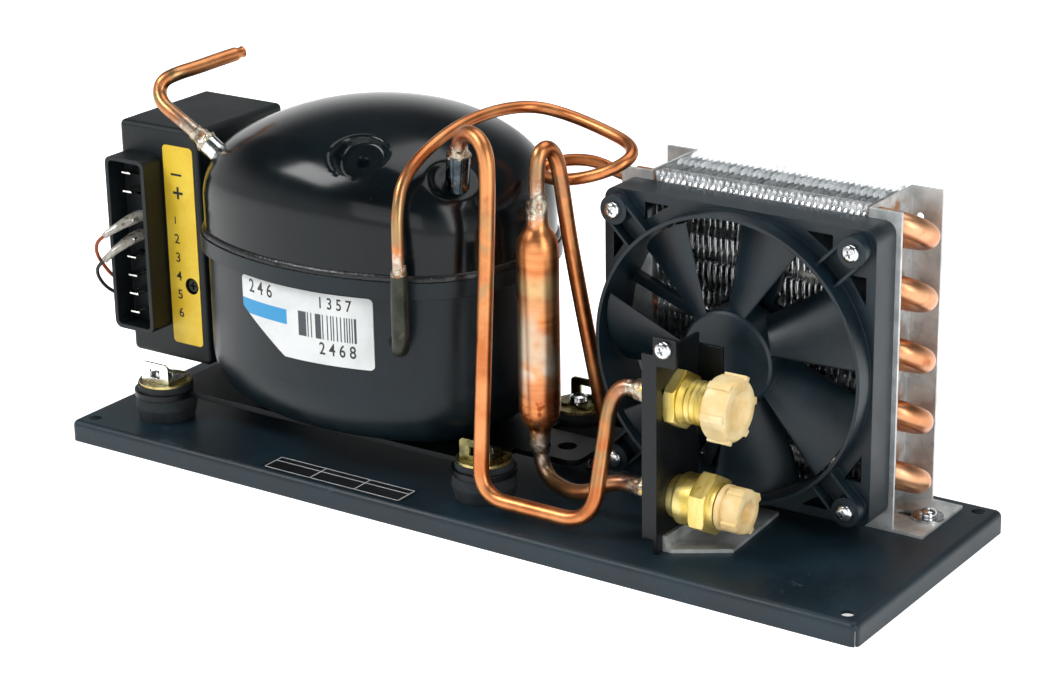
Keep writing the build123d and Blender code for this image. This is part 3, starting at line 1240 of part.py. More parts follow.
def coupling_rear(z):
    """Neck through the bracket and brazing socket behind it."""
    plate_right = BRACKET_X + BRACKET_SHEET
    neck = collar((BRACKET_X - LOCK_NUT_THICK - 2, COUPLING_Y, z), (1, 0, 0), COUPLING_NECK_D,
                  COUPLING_BORE_D, plate_right - BRACKET_X + LOCK_NUT_THICK + 2)
    socket_len = BRACKET_X - LOCK_NUT_THICK - 2 - COUPLING_SOCKET_X
    socket = collar((COUPLING_SOCKET_X, COUPLING_Y, z), (1, 0, 0), COUPLING_SOCKET_D,
                    COUPLING_BORE_D, socket_len)
    return neck + socket


def upper_coupling_body():
    """Brass suction coupling: hexagon against the bracket, cone and thread."""
    x0 = BRACKET_X + BRACKET_SHEET
    hexed = hexagon((x0, COUPLING_Y, UPPER_Z), (1, 0, 0), UPPER_FLANGE_FLATS, UPPER_FLANGE_THICK, 1.0)
    hexed -= rod((x0, COUPLING_Y, UPPER_Z), (1, 0, 0), COUPLING_BORE_D, UPPER_FLANGE_THICK)
    cone_x = x0 + UPPER_FLANGE_THICK
    cone = turned([(COUPLING_BORE_D / 2, 0), (THREAD_D / 2 + 0.8, 0), (THREAD_D / 2 - 0.8, 2.0),
                   (COUPLING_BORE_D / 2, 2.0)], (cone_x, COUPLING_Y, UPPER_Z), (1, 0, 0))
    return coupling_rear(UPPER_Z) + hexed + cone + thread(cone_x + 2.0, UPPER_THREAD_END, UPPER_Z)


def lower_coupling_body():
    """Brass liquid coupling: collar, barrel and hexagon."""
    x0 = BRACKET_X + BRACKET_SHEET
    bore = COUPLING_BORE_D / 2
    mouth = PLUG_SHANK_D / 2 + 0.1
    barrel = turned([(bore, 0), (LOWER_COLLAR_D / 2, 0), (LOWER_COLLAR_D / 2, LOWER_BARREL_START - x0),
                     (LOWER_BARREL_D / 2 - 0.6, LOWER_BARREL_START - x0),
                     (LOWER_BARREL_D / 2, LOWER_BARREL_START - x0 + 0.8),
                     (LOWER_BARREL_D / 2, LOWER_HEX_START - x0), (LOWER_BARREL_D / 2, LOWER_HEX_END - x0),
                     (LOWER_COLLAR_D / 2 + 0.6, LOWER_HEX_END - x0), (LOWER_COLLAR_D / 2 + 0.6, LOWER_END - x0),
                     (mouth, LOWER_END - x0), (mouth, LOWER_END - x0 - PLUG_SHANK - 1),
                     (bore, LOWER_END - x0 - PLUG_SHANK - 1)],
                    (x0, COUPLING_Y, LOWER_Z), (1, 0, 0))
    hexed = hexagon((LOWER_HEX_START, COUPLING_Y, LOWER_Z), (1, 0, 0), LOWER_HEX_FLATS,
                    LOWER_HEX_END - LOWER_HEX_START, 1.0)
    hexed -= rod((LOWER_HEX_START - 1, COUPLING_Y, LOWER_Z), (1, 0, 0), LOWER_BARREL_D - 1, 20)
    return coupling_rear(LOWER_Z) + barrel + hexed


def coupling_nuts():
    """Two thin lock nuts behind the bracket."""
    nuts = []
    for z in (UPPER_Z, LOWER_Z):
        start = (BRACKET_X - LOCK_NUT_THICK, COUPLING_Y, z)
        nut = hexagon(start, (1, 0, 0), LOCK_NUT_FLATS, LOCK_NUT_THICK, 0.6)
        nuts.append(nut - rod(start, (1, 0, 0), COUPLING_NECK_D, LOCK_NUT_THICK))
    return nuts


def upper_cap():
    """Ivory cap over the upper thread, hexagonal outside, with a dished end."""
    cap = hexagon((CAP_START, COUPLING_Y, UPPER_Z), (1, 0, 0), CAP_FLATS, CAP_END - CAP_START, 1.6)
    cap -= rod((CAP_START - 1, COUPLING_Y, UPPER_Z), (1, 0, 0), THREAD_D + 2 * CLEAR,
               UPPER_THREAD_END - CAP_START + 1 + CLEAR)
    dish = turned([(0, 0), (CAP_RECESS_D / 2 - 2, 0), (CAP_RECESS_D / 2, CAP_RECESS + 1),
                   (0, CAP_RECESS + 1)], (CAP_END - CAP_RECESS, COUPLING_Y, UPPER_Z), (1, 0, 0))
    return cap - dish


def lower_plug():
    """Ivory plug in the lower coupling's mouth, with a hexagonal head and a dished end."""
    head = hexagon((PLUG_START + 2.2, COUPLING_Y, LOWER_Z), (1, 0, 0), PLUG_FLATS,
                   PLUG_END - PLUG_START - 2.2, 1.4)
    flange = rod((PLUG_START, COUPLING_Y, LOWER_Z), (1, 0, 0), LOWER_COLLAR_D + 1.2, 2.2)
    shank = rod((PLUG_START - PLUG_SHANK, COUPLING_Y, LOWER_Z), (1, 0, 0), PLUG_SHANK_D, PLUG_SHANK + 0.5)
    dish = turned([(0, 0), (PLUG_RECESS_D / 2 - 1.5, 0), (PLUG_RECESS_D / 2, 5.0), (0, 5.0)],
                  (PLUG_END - 4.0, COUPLING_Y, LOWER_Z), (1, 0, 0))
    return head + flange + shank - dish


NODES = {
    "base_tray": base_tray,
    "compressor_foot_plate": compressor_foot_plate,
    "rubber_grommets": rubber_grommets,
    "mounting_pins": mounting_pins,
    "grommet_washers": grommet_washers,
    "mounting_clips": mounting_clips,
    "compressor_pot": compressor_pot,
    "compressor_lid": compressor_lid,
    "weld_bead": weld_bead,
    "compressor_label": compressor_label,
    "suction_stub": suction_stub,
    "process_stub": process_stub,
    "discharge_stub": discharge_stub,
    "hermetic_terminal": hermetic_terminal,
    "motor_stator": motor_stator,
    "motor_windings": motor_windings,
    "motor_rotor": motor_rotor,
    "crankshaft": crankshaft,
    "cylinder_block": cylinder_block,
    "cylinder_head": cylinder_head,
    "piston": piston,
    "connecting_rod": connecting_rod,
    "suspension_springs": suspension_springs,
    "internal_discharge_tube": internal_discharge_tube,
    "electronics_housing": electronics_housing,
    "electronics_cover": electronics_cover,
    "circuit_board": circuit_board,
    "terminal_shroud": terminal_shroud,
    "terminal_blades": terminal_blades,
    "housing_screw": housing_screw,
    "terminal_label": terminal_label,
    "spade_connectors": spade_connectors,
    "fan_lead_positive": lambda: fan_lead(LEAD_BLADES[0], 1),
    "fan_lead_negative": lambda: fan_lead(LEAD_BLADES[1], -1),
    "process_tube": process_tube,
    "suction_tube": suction_tube,
    "discharge_tube": discharge_tube,
    "filter_drier": filter_drier,
    "drier_inlet_tube": drier_inlet_tube,
    "liquid_tube": liquid_tube,
    "condenser_fins": condenser_fins,
    "condenser_tubes": condenser_tubes,
    "return_bends": return_bends,
    "end_plate_right": lambda: end_plate(1),
    "end_plate_left": lambda: end_plate(-1),
    "pan_head_screws": pan_head_screws,
    "fan_frame": fan_frame,
    "fan_rotor": fan_rotor,
    "fan_shaft": fan_shaft,
    "fan_magnet_ring": fan_magnet_ring,
    "fan_stator": fan_stator,
    "fan_bearing": fan_bearing,
    "fan_screws": fan_screws,
    "coupling_bracket": coupling_bracket,
    "bracket_foot": bracket_foot,
    "coupling_nuts": coupling_nuts,
    "upper_coupling_body": upper_coupling_body,
    "upper_cap": upper_cap,
    "lower_coupling_body": lower_coupling_body,
    "lower_plug": lower_plug,
}

for name, make in NODES.items():
    shape = make()
    if isinstance(shape, list):
        shape = Compound(children=shape)
    export_step(shape, "parts/" + name + ".step")
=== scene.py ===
import math

import bmesh
import bpy
from mathutils import Matrix, Vector, noise


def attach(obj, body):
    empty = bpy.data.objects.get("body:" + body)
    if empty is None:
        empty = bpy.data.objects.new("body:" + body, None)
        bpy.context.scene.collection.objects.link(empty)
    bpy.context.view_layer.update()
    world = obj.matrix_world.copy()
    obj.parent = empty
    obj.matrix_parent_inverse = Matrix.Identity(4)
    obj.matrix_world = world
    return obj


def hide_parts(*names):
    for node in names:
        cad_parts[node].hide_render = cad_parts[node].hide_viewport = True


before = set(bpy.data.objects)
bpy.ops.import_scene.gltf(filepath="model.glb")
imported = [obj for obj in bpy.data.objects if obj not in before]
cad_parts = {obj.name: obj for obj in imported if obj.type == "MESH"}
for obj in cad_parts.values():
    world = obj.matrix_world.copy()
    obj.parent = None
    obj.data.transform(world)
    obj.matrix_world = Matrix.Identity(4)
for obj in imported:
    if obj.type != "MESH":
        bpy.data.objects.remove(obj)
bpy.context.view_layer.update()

bl_info = {
    "name": "Refrigeration condensing unit",
    "version": (1, 0, 0),
    "blender": (4, 5, 0),
    "location": "View3D > Sidebar > Condensing unit",
    "description": "Dresses a small hermetic condensing unit with its finished pieces",
    "category": "Add Mesh",
}

MM = 0.001
FULL_TURN = 2 * math.pi

# Places and sizes in millimetres, as the solids have them
TRAY_TOP = 9.4
SHELL_X = -66.7
SHELL_HALF = (75.0, 59.4)
SHELL_ARCS = (88.0, 118.0)
SHELL_CORNER = 40.0
WELD_Z = 100.0
LID_LAP = 5.0
LID_TOP = 155.7
LID_CROWN_R = 125.0
LID_EDGE_R = 30.0
LABEL_BULGE = 0.7
FAN_CENTRE = (103.5, -6.1, 76.1)
FAN_HOLES = 52.5
FAN_SEAT_Y = -2.9
PLATE_HALF = 48.1
PLATE_TOP = 139.85
PLATE_SHEET = 1.2
FIN_FRONT = 20.2
FIN_BACK = 53.5
FIN_BOTTOM = 10.9
FIN_COUNT = 36
FIN_LEFT = FAN_CENTRE[0] - PLATE_HALF + 1.7
FIN_RIGHT = FAN_CENTRE[0] + PLATE_HALF - 1.7
ROW_FRONT = 25.85
ROW_BACK = 47.85
TUBE_PITCH = 25.4
FRONT_TUBES = [133.6 - TUBE_PITCH * i for i in range(5)]
BACK_TUBES = [z - TUBE_PITCH / 2 for z in FRONT_TUBES]
TUBES = [(ROW_FRONT, z) for z in FRONT_TUBES] + [(ROW_BACK, z) for z in BACK_TUBES]
COUPLING_Y = -33.6
UPPER_Z = 69.5
LOWER_Z = 29.0
DRIER = (26.5, -20.0)
FRONT_LEFT_CLIP = (-161, -35, 26)
BLADE_X = -177.0
UNIT_FRONT = -24.0
HEAD_R = 3.6
HEAD_H = 2.6

# Sizes that this file alone has, in millimetres
BEAD_OUT = 1.3
BEAD_HIGH = 2.6
WASHER_THICK = 1.0
BAR_STEP = 0.55

# The blades' heights, with the upper two set apart as the photograph shows them
BLADE_ZS = [117.0, 108.6, 95.9, 87.5, 79.1, 70.7, 62.3, 53.9]

# The camera: azimuth, elevation and roll in degrees, its target and distance, and the photograph's
# width and focal length in pixels
CAMERA_TURNS = (34.651, 19.994, -1.043)
CAMERA_TARGET = (3.205, 0, 61.359)
CAMERA_DISTANCE = 1135.5
PHOTO_WIDTH = 1039
PHOTO_FOCAL = 2765.5


# Colour and node helpers

def linear(code, alpha=1.0):
    """Turns an sRGB hex colour to linear."""
    parts = [int(code[i:i + 2], 16) / 255 for i in (1, 3, 5)]
    return tuple(p / 12.92 if p <= 0.04045 else ((p + 0.055) / 1.055) ** 2.4 for p in parts) + (alpha,)


def add(tree, kind, inputs=None, **settings):
    """Adds a node with its settings; an input is a value or another node's socket."""
    node = tree.nodes.new("ShaderNode" + kind)
    for key, value in settings.items():
        setattr(node, key, value)
    for key, value in (inputs or {}).items():
        if isinstance(value, bpy.types.NodeSocket):
            tree.links.new(value, node.inputs[key])
        else:
            node.inputs[key].default_value = value
    return node


class Finish:
    """A material under way: its tree, shader, object place and present colour and roughness.

    Patch, grain, depth and edge are millimetres: the size of its colour patches and of its fine
    bumps, how deep those bumps are, and how far its edges look rounded.
    """

    def __init__(self, name, low, high, patch, rough, swing, grain, depth, metal=0.0, edge=0.35,
                 stretch=(1, 1, 1), **fixed):
        self.material = bpy.data.materials.new(name)
        self.material.use_nodes = True
        self.tree = self.material.node_tree
        self.shader = self.tree.nodes["Principled BSDF"]
        self.shader.inputs["Metallic"].default_value = metal
        for key, value in fixed.items():
            self.shader.inputs[key.replace("_", " ")].default_value = value
        self.place = add(self.tree, "TexCoord").outputs["Object"]
        drawn = add(self.tree, "Mapping", {"Vector": self.place, "Scale": stretch}).outputs["Vector"]
        patches = add(self.tree, "TexNoise", {"Vector": drawn, "Scale": 1000 / patch, "Detail": 4.0,
                                              "Roughness": 0.6}).outputs["Fac"]
        spread = add(self.tree, "MapRange", {"Value": patches, "From Min": 0.36, "From Max": 0.64},
                     interpolation_type="SMOOTHSTEP").outputs["Result"]
        self.colour = add(self.tree, "Mix", {0: spread, 6: linear(low), 7: linear(high)},
                          data_type="RGBA").outputs[2]
        self.rough = add(self.tree, "MapRange", {"Value": patches, "From Min": 0.3, "From Max": 0.7,
                                                 "To Min": rough - swing, "To Max": rough + swing},
                         interpolation_type="SMOOTHSTEP").outputs["Result"]
        grit = add(self.tree, "TexNoise", {"Vector": drawn, "Scale": 1000 / grain, "Detail": 2.0,
                                           "Roughness": 0.5}).outputs["Fac"]
        bump = {"Height": grit, "Strength": 1.0, "Distance": depth * MM}
        if edge:
            bump["Normal"] = add(self.tree, "Bevel", {"Radius": edge * MM}, samples=4).outputs["Normal"]
        self.normal = add(self.tree, "Bump", bump).outputs["Normal"]

    def speckle(self, size, low, high, detail=3.0, stretch=(1, 1, 1)):
        """A mask from noise of a size in millimetres."""
        drawn = add(self.tree, "Mapping", {"Vector": self.place, "Scale": stretch}).outputs["Vector"]
        spots = add(self.tree, "TexNoise", {"Vector": drawn, "Scale": 1000 / size, "Detail": detail})
        return add(self.tree, "MapRange", {"Value": spots.outputs["Fac"], "From Min": low, "From Max": high},
                   interpolation_type="SMOOTHSTEP").outputs["Result"]

    def along(self, axis, low, high):
        """A mask that rises along an axis between two places in millimetres."""
        height = add(self.tree, "SeparateXYZ", {"Vector": self.place}).outputs[axis]
        return add(self.tree, "MapRange", {"Value": height, "From Min": low * MM, "From Max": high * MM},
                   interpolation_type="SMOOTHSTEP").outputs["Result"]

    def band(self, axis, low, high, soft):
        """A mask that is one between two places along an axis."""
        rise = self.along(axis, low - soft, low + soft)
        fall = self.along(axis, high + soft, high - soft)
        return add(self.tree, "Math", {0: rise, 1: fall}, operation="MULTIPLY").outputs["Value"]

    def near(self, points, inner, outer):
        """A mask that is one close to any of the points and fades out."""
        mask = None
        for point in points:
            spot = tuple(p * MM for p in point)
            gap = add(self.tree, "VectorMath", {0: self.place, 1: spot}, operation="DISTANCE")
            here = add(self.tree, "MapRange", {"Value": gap.outputs["Value"], "From Min": outer * MM,
                                               "From Max": inner * MM},
                       interpolation_type="SMOOTHSTEP").outputs["Result"]
            if mask is not None:
                here = add(self.tree, "Math", {0: mask, 1: here}, operation="MAXIMUM").outputs["Value"]
            mask = here
        return mask

    def over(self, code, rough, *masks):
        """Lays a colour, and a roughness unless it is None, over the surface where the masks meet."""
        mask = masks[0]
        for other in masks[1:]:
            mask = add(self.tree, "Math", {0: mask, 1: other}, operation="MULTIPLY").outputs["Value"]
        self.colour = add(self.tree, "Mix", {0: mask, 6: self.colour, 7: linear(code)},
                          data_type="RGBA").outputs[2]
        if rough is not None:
            self.rough = add(self.tree, "Mix", {0: mask, 2: self.rough, 3: rough}).outputs[0]

    def done(self):
        """Links the finish to its shader."""
        self.tree.links.new(self.colour, self.shader.inputs["Base Color"])
        self.tree.links.new(self.rough, self.shader.inputs["Roughness"])
        self.tree.links.new(self.normal, self.shader.inputs["Normal"])
        return self.material


# Materials

def powder_coated_tray():
    """Charcoal powder coat on steel: a soft sheen broken by fine orange peel, with pale rub marks."""
    f = Finish("charcoal_powder_coat", "#0D1D26", "#132832", 45, 0.45, 0.05, 0.9, 0.035, edge=0.6,
               Specular_IOR_Level=0.4)
    f.over("#2F3A41", None, f.speckle(0.7, 0.66, 0.74))
    f.over("#353F46", 0.6, f.speckle(9, 0.62, 0.7, 8), f.speckle(1.2, 0.5, 0.6))
    return f.done()


def black_enamel_lid():
    """Gloss black enamel sprayed on drawn steel: deep mirror-like shine with a faint ripple."""
    f = Finish("gloss_black_enamel", "#060C0F", "#0A1418", 40, 0.17, 0.03, 6, 0.012, edge=0,
               Specular_IOR_Level=0.27)
    f.over("#2C363B", 0.4, f.speckle(0.8, 0.7, 0.78))
    return f.done()


def satin_enamel_pot():
    """Dark grey enamel on drawn steel: a duller, slightly textured shine than the lid."""
    f = Finish("satin_grey_enamel", "#0A151A", "#101D23", 30, 0.33, 0.05, 1.4, 0.02, edge=0.5,
               Specular_IOR_Level=0.26)
    f.over("#2A343A", None, f.speckle(0.8, 0.66, 0.76))
    return f.done()


def enamelled_weld():
    """Weld seam under enamel: rough and dark, with painted glints: small light grey spots laid into its
    colour.
    """
    f = Finish("enamelled_weld_seam", "#07090A", "#101518", 4, 0.34, 0.08, 1.6, 0.1, edge=0)
    # Painted highlight: light grey spots stand in for the glints on the rough bead.
    f.over("#69757B", 0.25, f.speckle(1.4, 0.7, 0.78))
    return f.done()


def enamelled_plate():
    """Semi-gloss black enamel on cut sheet: dark faces with a fine light speckle, the edges rounded in
    shading.
    """
    f = Finish("black_enamelled_sheet", "#06090B", "#0D1215", 25, 0.36, 0.06, 1.2, 0.02, edge=0.5,
               Specular_IOR_Level=0.3)
    f.over("#28333A", None, f.speckle(0.8, 0.68, 0.76))
    return f.done()


def moulded_rubber():
    """Natural rubber mount: matt, dusty grey-black, mottled by talc."""
    f = Finish("moulded_mount_rubber", "#12181B", "#232B30", 6, 0.78, 0.08, 0.8, 0.05, edge=0.5)
    f.over("#3F4A50", None, f.speckle(1.0, 0.64, 0.76))
    return f.done()


def yellow_zinc():
    """Yellow chromated zinc: metallic with a gold and grey-green iridescence."""
    f = Finish("yellow_zinc_plate", "#8E7A45", "#D8C88A", 7, 0.3, 0.08, 0.8, 0.01, metal=1.0, edge=0.2)
    f.over("#6F7A5C", 0.35, f.speckle(5, 0.55, 0.7))
    return f.done()


def clip_zinc():
    """Zinc-plated spring clip in dark olive, with a painted highlight that makes the front left one bright
    silver.
    """
    f = Finish("clip_zinc_plate", "#57553A", "#8C8557", 5, 0.3, 0.06, 0.7, 0.01, metal=1.0, edge=0.2)
    # Painted highlight: bright silver laid round the front left clip's place, so that this one clip looks
    # lit.
    f.over("#E9EBE8", 0.24, f.near((FRONT_LEFT_CLIP,), 14, 20))
    return f.done()


def bright_zinc():
    """Bright zinc plate: clean silver with small dark scuffs."""
    f = Finish("bright_zinc_plate", "#B9BEC0", "#E6E8E8", 3, 0.2, 0.07, 0.7, 0.012, metal=1.0, edge=0.15)
    f.over("#7F868A", 0.4, f.speckle(1.4, 0.64, 0.75))
    return f.done()


def drawn_copper(name, joints, warm=(), reach=16, low="#BC7043", high="#D8935F"):
    """Drawn copper tube: orange-brown with a satin shine, silvery and purple where a torch heated it."""
    f = Finish(name, low, high, 22, 0.37, 0.05, 1.1, 0.006, metal=1.0, edge=0)
    f.over("#B26A40", 0.38, f.speckle(9, 0.58, 0.76))
    f.over("#E9B184", 0.28, f.speckle(1.3, 0.7, 0.8))
    if warm:
        f.over("#A98B62", 0.34, f.near(warm, 6, 30), f.speckle(9, 0.4, 0.62))
    if joints:
        f.over("#8A6A58", 0.42, f.near(joints, 2, reach * 1.7), f.speckle(5, 0.36, 0.56, 5))
        f.over("#B6A596", 0.36, f.near(joints, 1, reach * 0.8))
        f.over("#CFC9BE", 0.3, f.near(joints, 2, reach), f.speckle(2.2, 0.52, 0.66))
    return f.done()


def brazing_alloy():
    """Silver-brazing alloy: frozen puddle, lumpy and grey-gold with flux stains."""
    f = Finish("brazing_alloy", "#8E8273", "#C7BDA9", 3, 0.38, 0.1, 1.4, 0.12, metal=1.0, edge=0)
    f.over("#9A6A48", 0.45, f.speckle(2.4, 0.56, 0.68))
    f.over("#E4DED0", 0.25, f.speckle(1.2, 0.62, 0.72))
    return f.done()


def spun_copper():
    """Spun copper drier shell: fine turning rings, banded straw, silver and purple by the torch."""
    f = Finish("spun_copper", "#BE7042", "#DC9862", 16, 0.33, 0.06, 0.5, 0.008, metal=1.0, edge=0,
               stretch=(0.25, 0.25, 2.2))
    f.over("#C9A878", 0.35, f.band("Z", 92, 104, 5), f.speckle(16, 0.36, 0.6))
    f.over("#C7B49B", 0.38, f.band("Z", 56, 88, 8), f.speckle(22, 0.35, 0.55))
    f.over("#D8D2C4", 0.36, f.band("Z", 62, 72, 4), f.speckle(12, 0.42, 0.6))
    f.over("#9C4E28", 0.5, f.band("Z", 40, 52, 4), f.speckle(3, 0.5, 0.62))
    for low, high in ((127, 133), (27, 35)):
        f.over("#B3A79A", 0.4, f.band("Z", low, high, 3))
        f.over("#DDD6C9", 0.3, f.band("Z", low - 3, high + 3, 3), f.speckle(2.2, 0.5, 0.64))
    return f.done()


def machined_brass():
    """Machined brass: yellow gold with turning marks and duller cast-in shade."""
    f = Finish("machined_brass", "#D6BC5E", "#EFDF98", 16, 0.47, 0.05, 0.45, 0.006, metal=1.0, edge=0.35,
               stretch=(3, 0.6, 0.6))
    f.over("#C9AE54", 0.5, f.speckle(8, 0.6, 0.76))
    f.over("#F2E6A8", 0.22, f.speckle(1.2, 0.68, 0.76))
    return f.done()


def ivory_polyethylene():
    """Moulded polyethylene: waxy ivory that lets a little light in."""
    f = Finish("ivory_polyethylene", "#EBCB8C", "#F8E2B0", 12, 0.42, 0.05, 1.6, 0.02, edge=0.6,
               Subsurface_Weight=0.12, Subsurface_Radius=(0.006, 0.0035, 0.002), Subsurface_Scale=0.5)
    return f.done()


def fin_aluminium():
    """Bright rolled aluminium foil: mirror-like with handling dents."""
    f = Finish("fin_aluminium", "#DCE0E2", "#F5F6F6", 5, 0.3, 0.07, 2.5, 0.02, metal=1.0, edge=0)
    f.over("#CBD0D2", 0.4, f.speckle(7, 0.62, 0.74))
    return f.done()


def galvanised_sheet():
    """Hot-dip galvanised steel: pale grey with a soft crystal spangle, and brown beside each return bend:
    flux stain together with a painted reflection of the copper bends.
    """
    f = Finish("galvanised_sheet", "#BEC3C4", "#DADDDD", 9, 0.55, 0.06, 1.2, 0.01, metal=0.85, edge=0.3)
    cells = add(f.tree, "TexVoronoi", {"Vector": f.place, "Scale": 1000 / 4.5}).outputs["Color"]
    shade = add(f.tree, "SeparateColor", {"Color": cells}).outputs[0]
    pale = add(f.tree, "MapRange", {"Value": shade, "From Min": 0.55, "From Max": 1.0, "To Max": 0.5},
               interpolation_type="SMOOTHSTEP").outputs["Result"]
    f.over("#E6E8E8", 0.42, pale)
    # Painted reflection and flux stain: brown patches beside each return bend, where the copper bends reflect
    # in the plate.
    bends = [(FAN_CENTRE[0] + PLATE_HALF + 8, (ROW_FRONT + ROW_BACK) / 2, z - 6) for z in FRONT_TUBES]
    f.over("#B98A5E", 0.4, f.near(bends, 9, 20), f.speckle(7, 0.42, 0.62, 5))
    return f.done()


def glass_filled_nylon():
    """Glass-filled nylon: blue-black, with a fine bright grain and softly shining edges."""
    f = Finish("glass_filled_nylon", "#08171F", "#0E212A", 20, 0.4, 0.05, 0.9, 0.03, edge=0.45,
               Specular_IOR_Level=0.42)
    f.over("#22313A", None, f.speckle(0.8, 0.64, 0.74))
    return f.done()


def textured_abs():
    """Spark-eroded black ABS: matt and evenly grained."""
    f = Finish("textured_black_abs", "#060E11", "#0B1519", 26, 0.5, 0.04, 0.8, 0.045, edge=0.5,
               Specular_IOR_Level=0.35)
    f.over("#222C32", None, f.speckle(0.8, 0.64, 0.76))
    return f.done()


def printed_strip():
    """Printed polyester film: flat yellow with a faint sheen."""
    return Finish("yellow_printed_film", "#EFC630", "#F7D545", 14, 0.42, 0.05, 0.7, 0.01, edge=0).done()


def printed_label():
    """Printed white film: cool white, with a blue stripe and a block of dark bars."""
    f = Finish("white_printed_film", "#D9DDDD", "#E6E9E9", 18, 0.34, 0.05, 2.0, 0.01, edge=0)
    f.over("#1D93CC", None, f.band("X", -97.5, -71, 0.15), f.band("Z", 75.2, 81.6, 0.15))
    place = add(f.tree, "SeparateXYZ", {"Vector": f.place}).outputs["X"]
    step = add(f.tree, "Math", {0: place, 1: 1000 / BAR_STEP}, operation="MULTIPLY").outputs["Value"]
    step = add(f.tree, "Math", {0: step, 1: 0.0}, operation="FLOOR").outputs["Value"]
    chance = add(f.tree, "TexWhiteNoise", {"W": step}, noise_dimensions="1D").outputs["Value"]
    inked = add(f.tree, "MapRange", {"Value": chance, "From Min": 0.49, "From Max": 0.51},
                interpolation_type="SMOOTHSTEP").outputs["Result"]
    f.over("#353D42", None, f.band("X", -65, -38, 0.1), f.band("Z", 71.8, 82.4, 0.1), inked)
    return f.done()


def print_ink():
    """Screen ink: dense black with a slight sheen."""
    return Finish("black_print_ink", "#101214", "#1A1D1F", 4, 0.4, 0.04, 0.6, 0.004, edge=0).done()


def white_ink():
    """White ink: slightly worn."""
    return Finish("white_print_ink", "#C9CED0", "#E4E7E8", 4, 0.4, 0.04, 0.6, 0.004, edge=0).done()


def clear_sleeve():
    """Clear vinyl sleeve over a tinned receptacle: cloudy, wet-looking and partly see-through."""
    f = Finish("clear_vinyl_sleeve", "#B9B4A8", "#E3E0D8", 3, 0.18, 0.06, 1.6, 0.05, edge=0,
               Transmission_Weight=0.45, IOR=1.52)
    f.over("#8B8373", 0.25, f.speckle(3, 0.5, 0.64))
    return f.done()


def brown_insulation():
    """Brown vinyl insulation: soft shine."""
    return Finish("brown_vinyl_insulation", "#8C3B17", "#A94B20", 8, 0.38, 0.05, 1.0, 0.01, edge=0).done()


def black_insulation():
    """Black vinyl insulation: soft shine, slightly brown where it is worn."""
    return Finish("black_vinyl_insulation", "#17110F", "#2B1F1A", 8, 0.38, 0.05, 1.0, 0.01, edge=0).done()


def tinned_brass():
    """Tinned brass: bright with small scratches."""
    return Finish("tinned_brass", "#C4C4BE", "#F1F1ED", 3, 0.2, 0.08, 0.6, 0.01, metal=1.0, edge=0.15).done()


def bare_steel():
    """Cut mild steel: grey, with rolling haze."""
    return Finish("bare_mild_steel", "#70777A", "#A0A6A8", 8, 0.4, 0.08, 0.7, 0.01, metal=1.0,
                  edge=0.25).done()


def heated_steel():
    """Steel heated by brazing: dark grey-brown scale over a dull shine."""
    f = Finish("heat_scaled_steel", "#22251F", "#363930", 9, 0.34, 0.06, 1.0, 0.01, metal=0.7, edge=0.3)
    f.over("#4C4A3C", 0.4, f.speckle(5, 0.58, 0.72))
    return f.done()


def plated_stub():
    """Copper-flashed steel stub: dark mirror with straw heat tint."""
    f = Finish("dark_plated_stub", "#2C3338", "#4C565C", 6, 0.16, 0.06, 1.0, 0.01, metal=1.0, edge=0.3)
    f.over("#A58F78", 0.3, f.speckle(4, 0.6, 0.7))
    return f.done()


def circuit_laminate():
    """Solder-masked laminate: glossy green."""
    return Finish("green_solder_mask", "#17452A", "#1F5634", 10, 0.25, 0.05, 0.8, 0.01, edge=0).done()


def grey_casting():
    """Machined grey iron: dull and open-grained."""
    return Finish("machined_grey_iron", "#55595B", "#7A7E80", 5, 0.5, 0.08, 0.8, 0.03, metal=0.8).done()


def lamination_stack():
    """Stacked electrical steel: thin bright and dark lines up the stack."""
    f = Finish("electrical_steel_stack", "#565B5F", "#8A8F92", 6, 0.4, 0.06, 0.5, 0.02, metal=1.0,
               stretch=(0.1, 0.1, 4))
    return f.done()


def bonded_ferrite():
    """Bonded ferrite: matt black-brown."""
    return Finish("bonded_ferrite", "#1B1A1A", "#2C2A29", 5, 0.6, 0.05, 0.7, 0.02).done()


# Mesh helpers

def join(bm, shape, centre=(0, 0, 0), axis=(0, 0, 1), turn=0.0):
    """Turns a shape from +Z to an axis, moves it and adds it to a mesh under way."""
    spin = Vector((0, 0, 1)).rotation_difference(Vector(axis)).to_matrix().to_4x4()
    place = Matrix.Translation(Vector(centre)) @ spin @ Matrix.Rotation(math.radians(turn), 4, "Z")
    shape.transform(place)
    held = bpy.data.meshes.new("held")
    shape.to_mesh(held)
    shape.free()
    bm.from_mesh(held)
    bpy.data.meshes.remove(held)


def spun(outline, steps=48):
    """A shape turned about +Z from (radius, height) points."""
    bm = bmesh.new()
    verts = [bm.verts.new((r, 0, h)) for r, h in outline]
    edges = [bm.edges.new(pair) for pair in zip(verts, verts[1:])]
    bmesh.ops.spin(bm, geom=verts + edges, cent=(0, 0, 0), axis=(0, 0, 1), angle=FULL_TURN,
                   steps=steps, use_merge=True)
    bmesh.ops.remove_doubles(bm, verts=bm.verts, dist=0.0005)
    bmesh.ops.recalc_face_normals(bm, faces=bm.faces)
    return bm


def block(low, high, bevel=0.0):
    """A box between two corners with bevelled edges."""
    low, high = Vector(low), Vector(high)
    bm = bmesh.new()
    bmesh.ops.create_cube(bm, size=1.0)
    bmesh.ops.scale(bm, vec=high - low, verts=bm.verts)
    bmesh.ops.translate(bm, vec=(low + high) / 2, verts=bm.verts)
    if bevel:
        bmesh.ops.bevel(bm, geom=bm.edges[:], offset=bevel, affect="EDGES", segments=3, profile=0.5,
                        material=-1)
    return bm


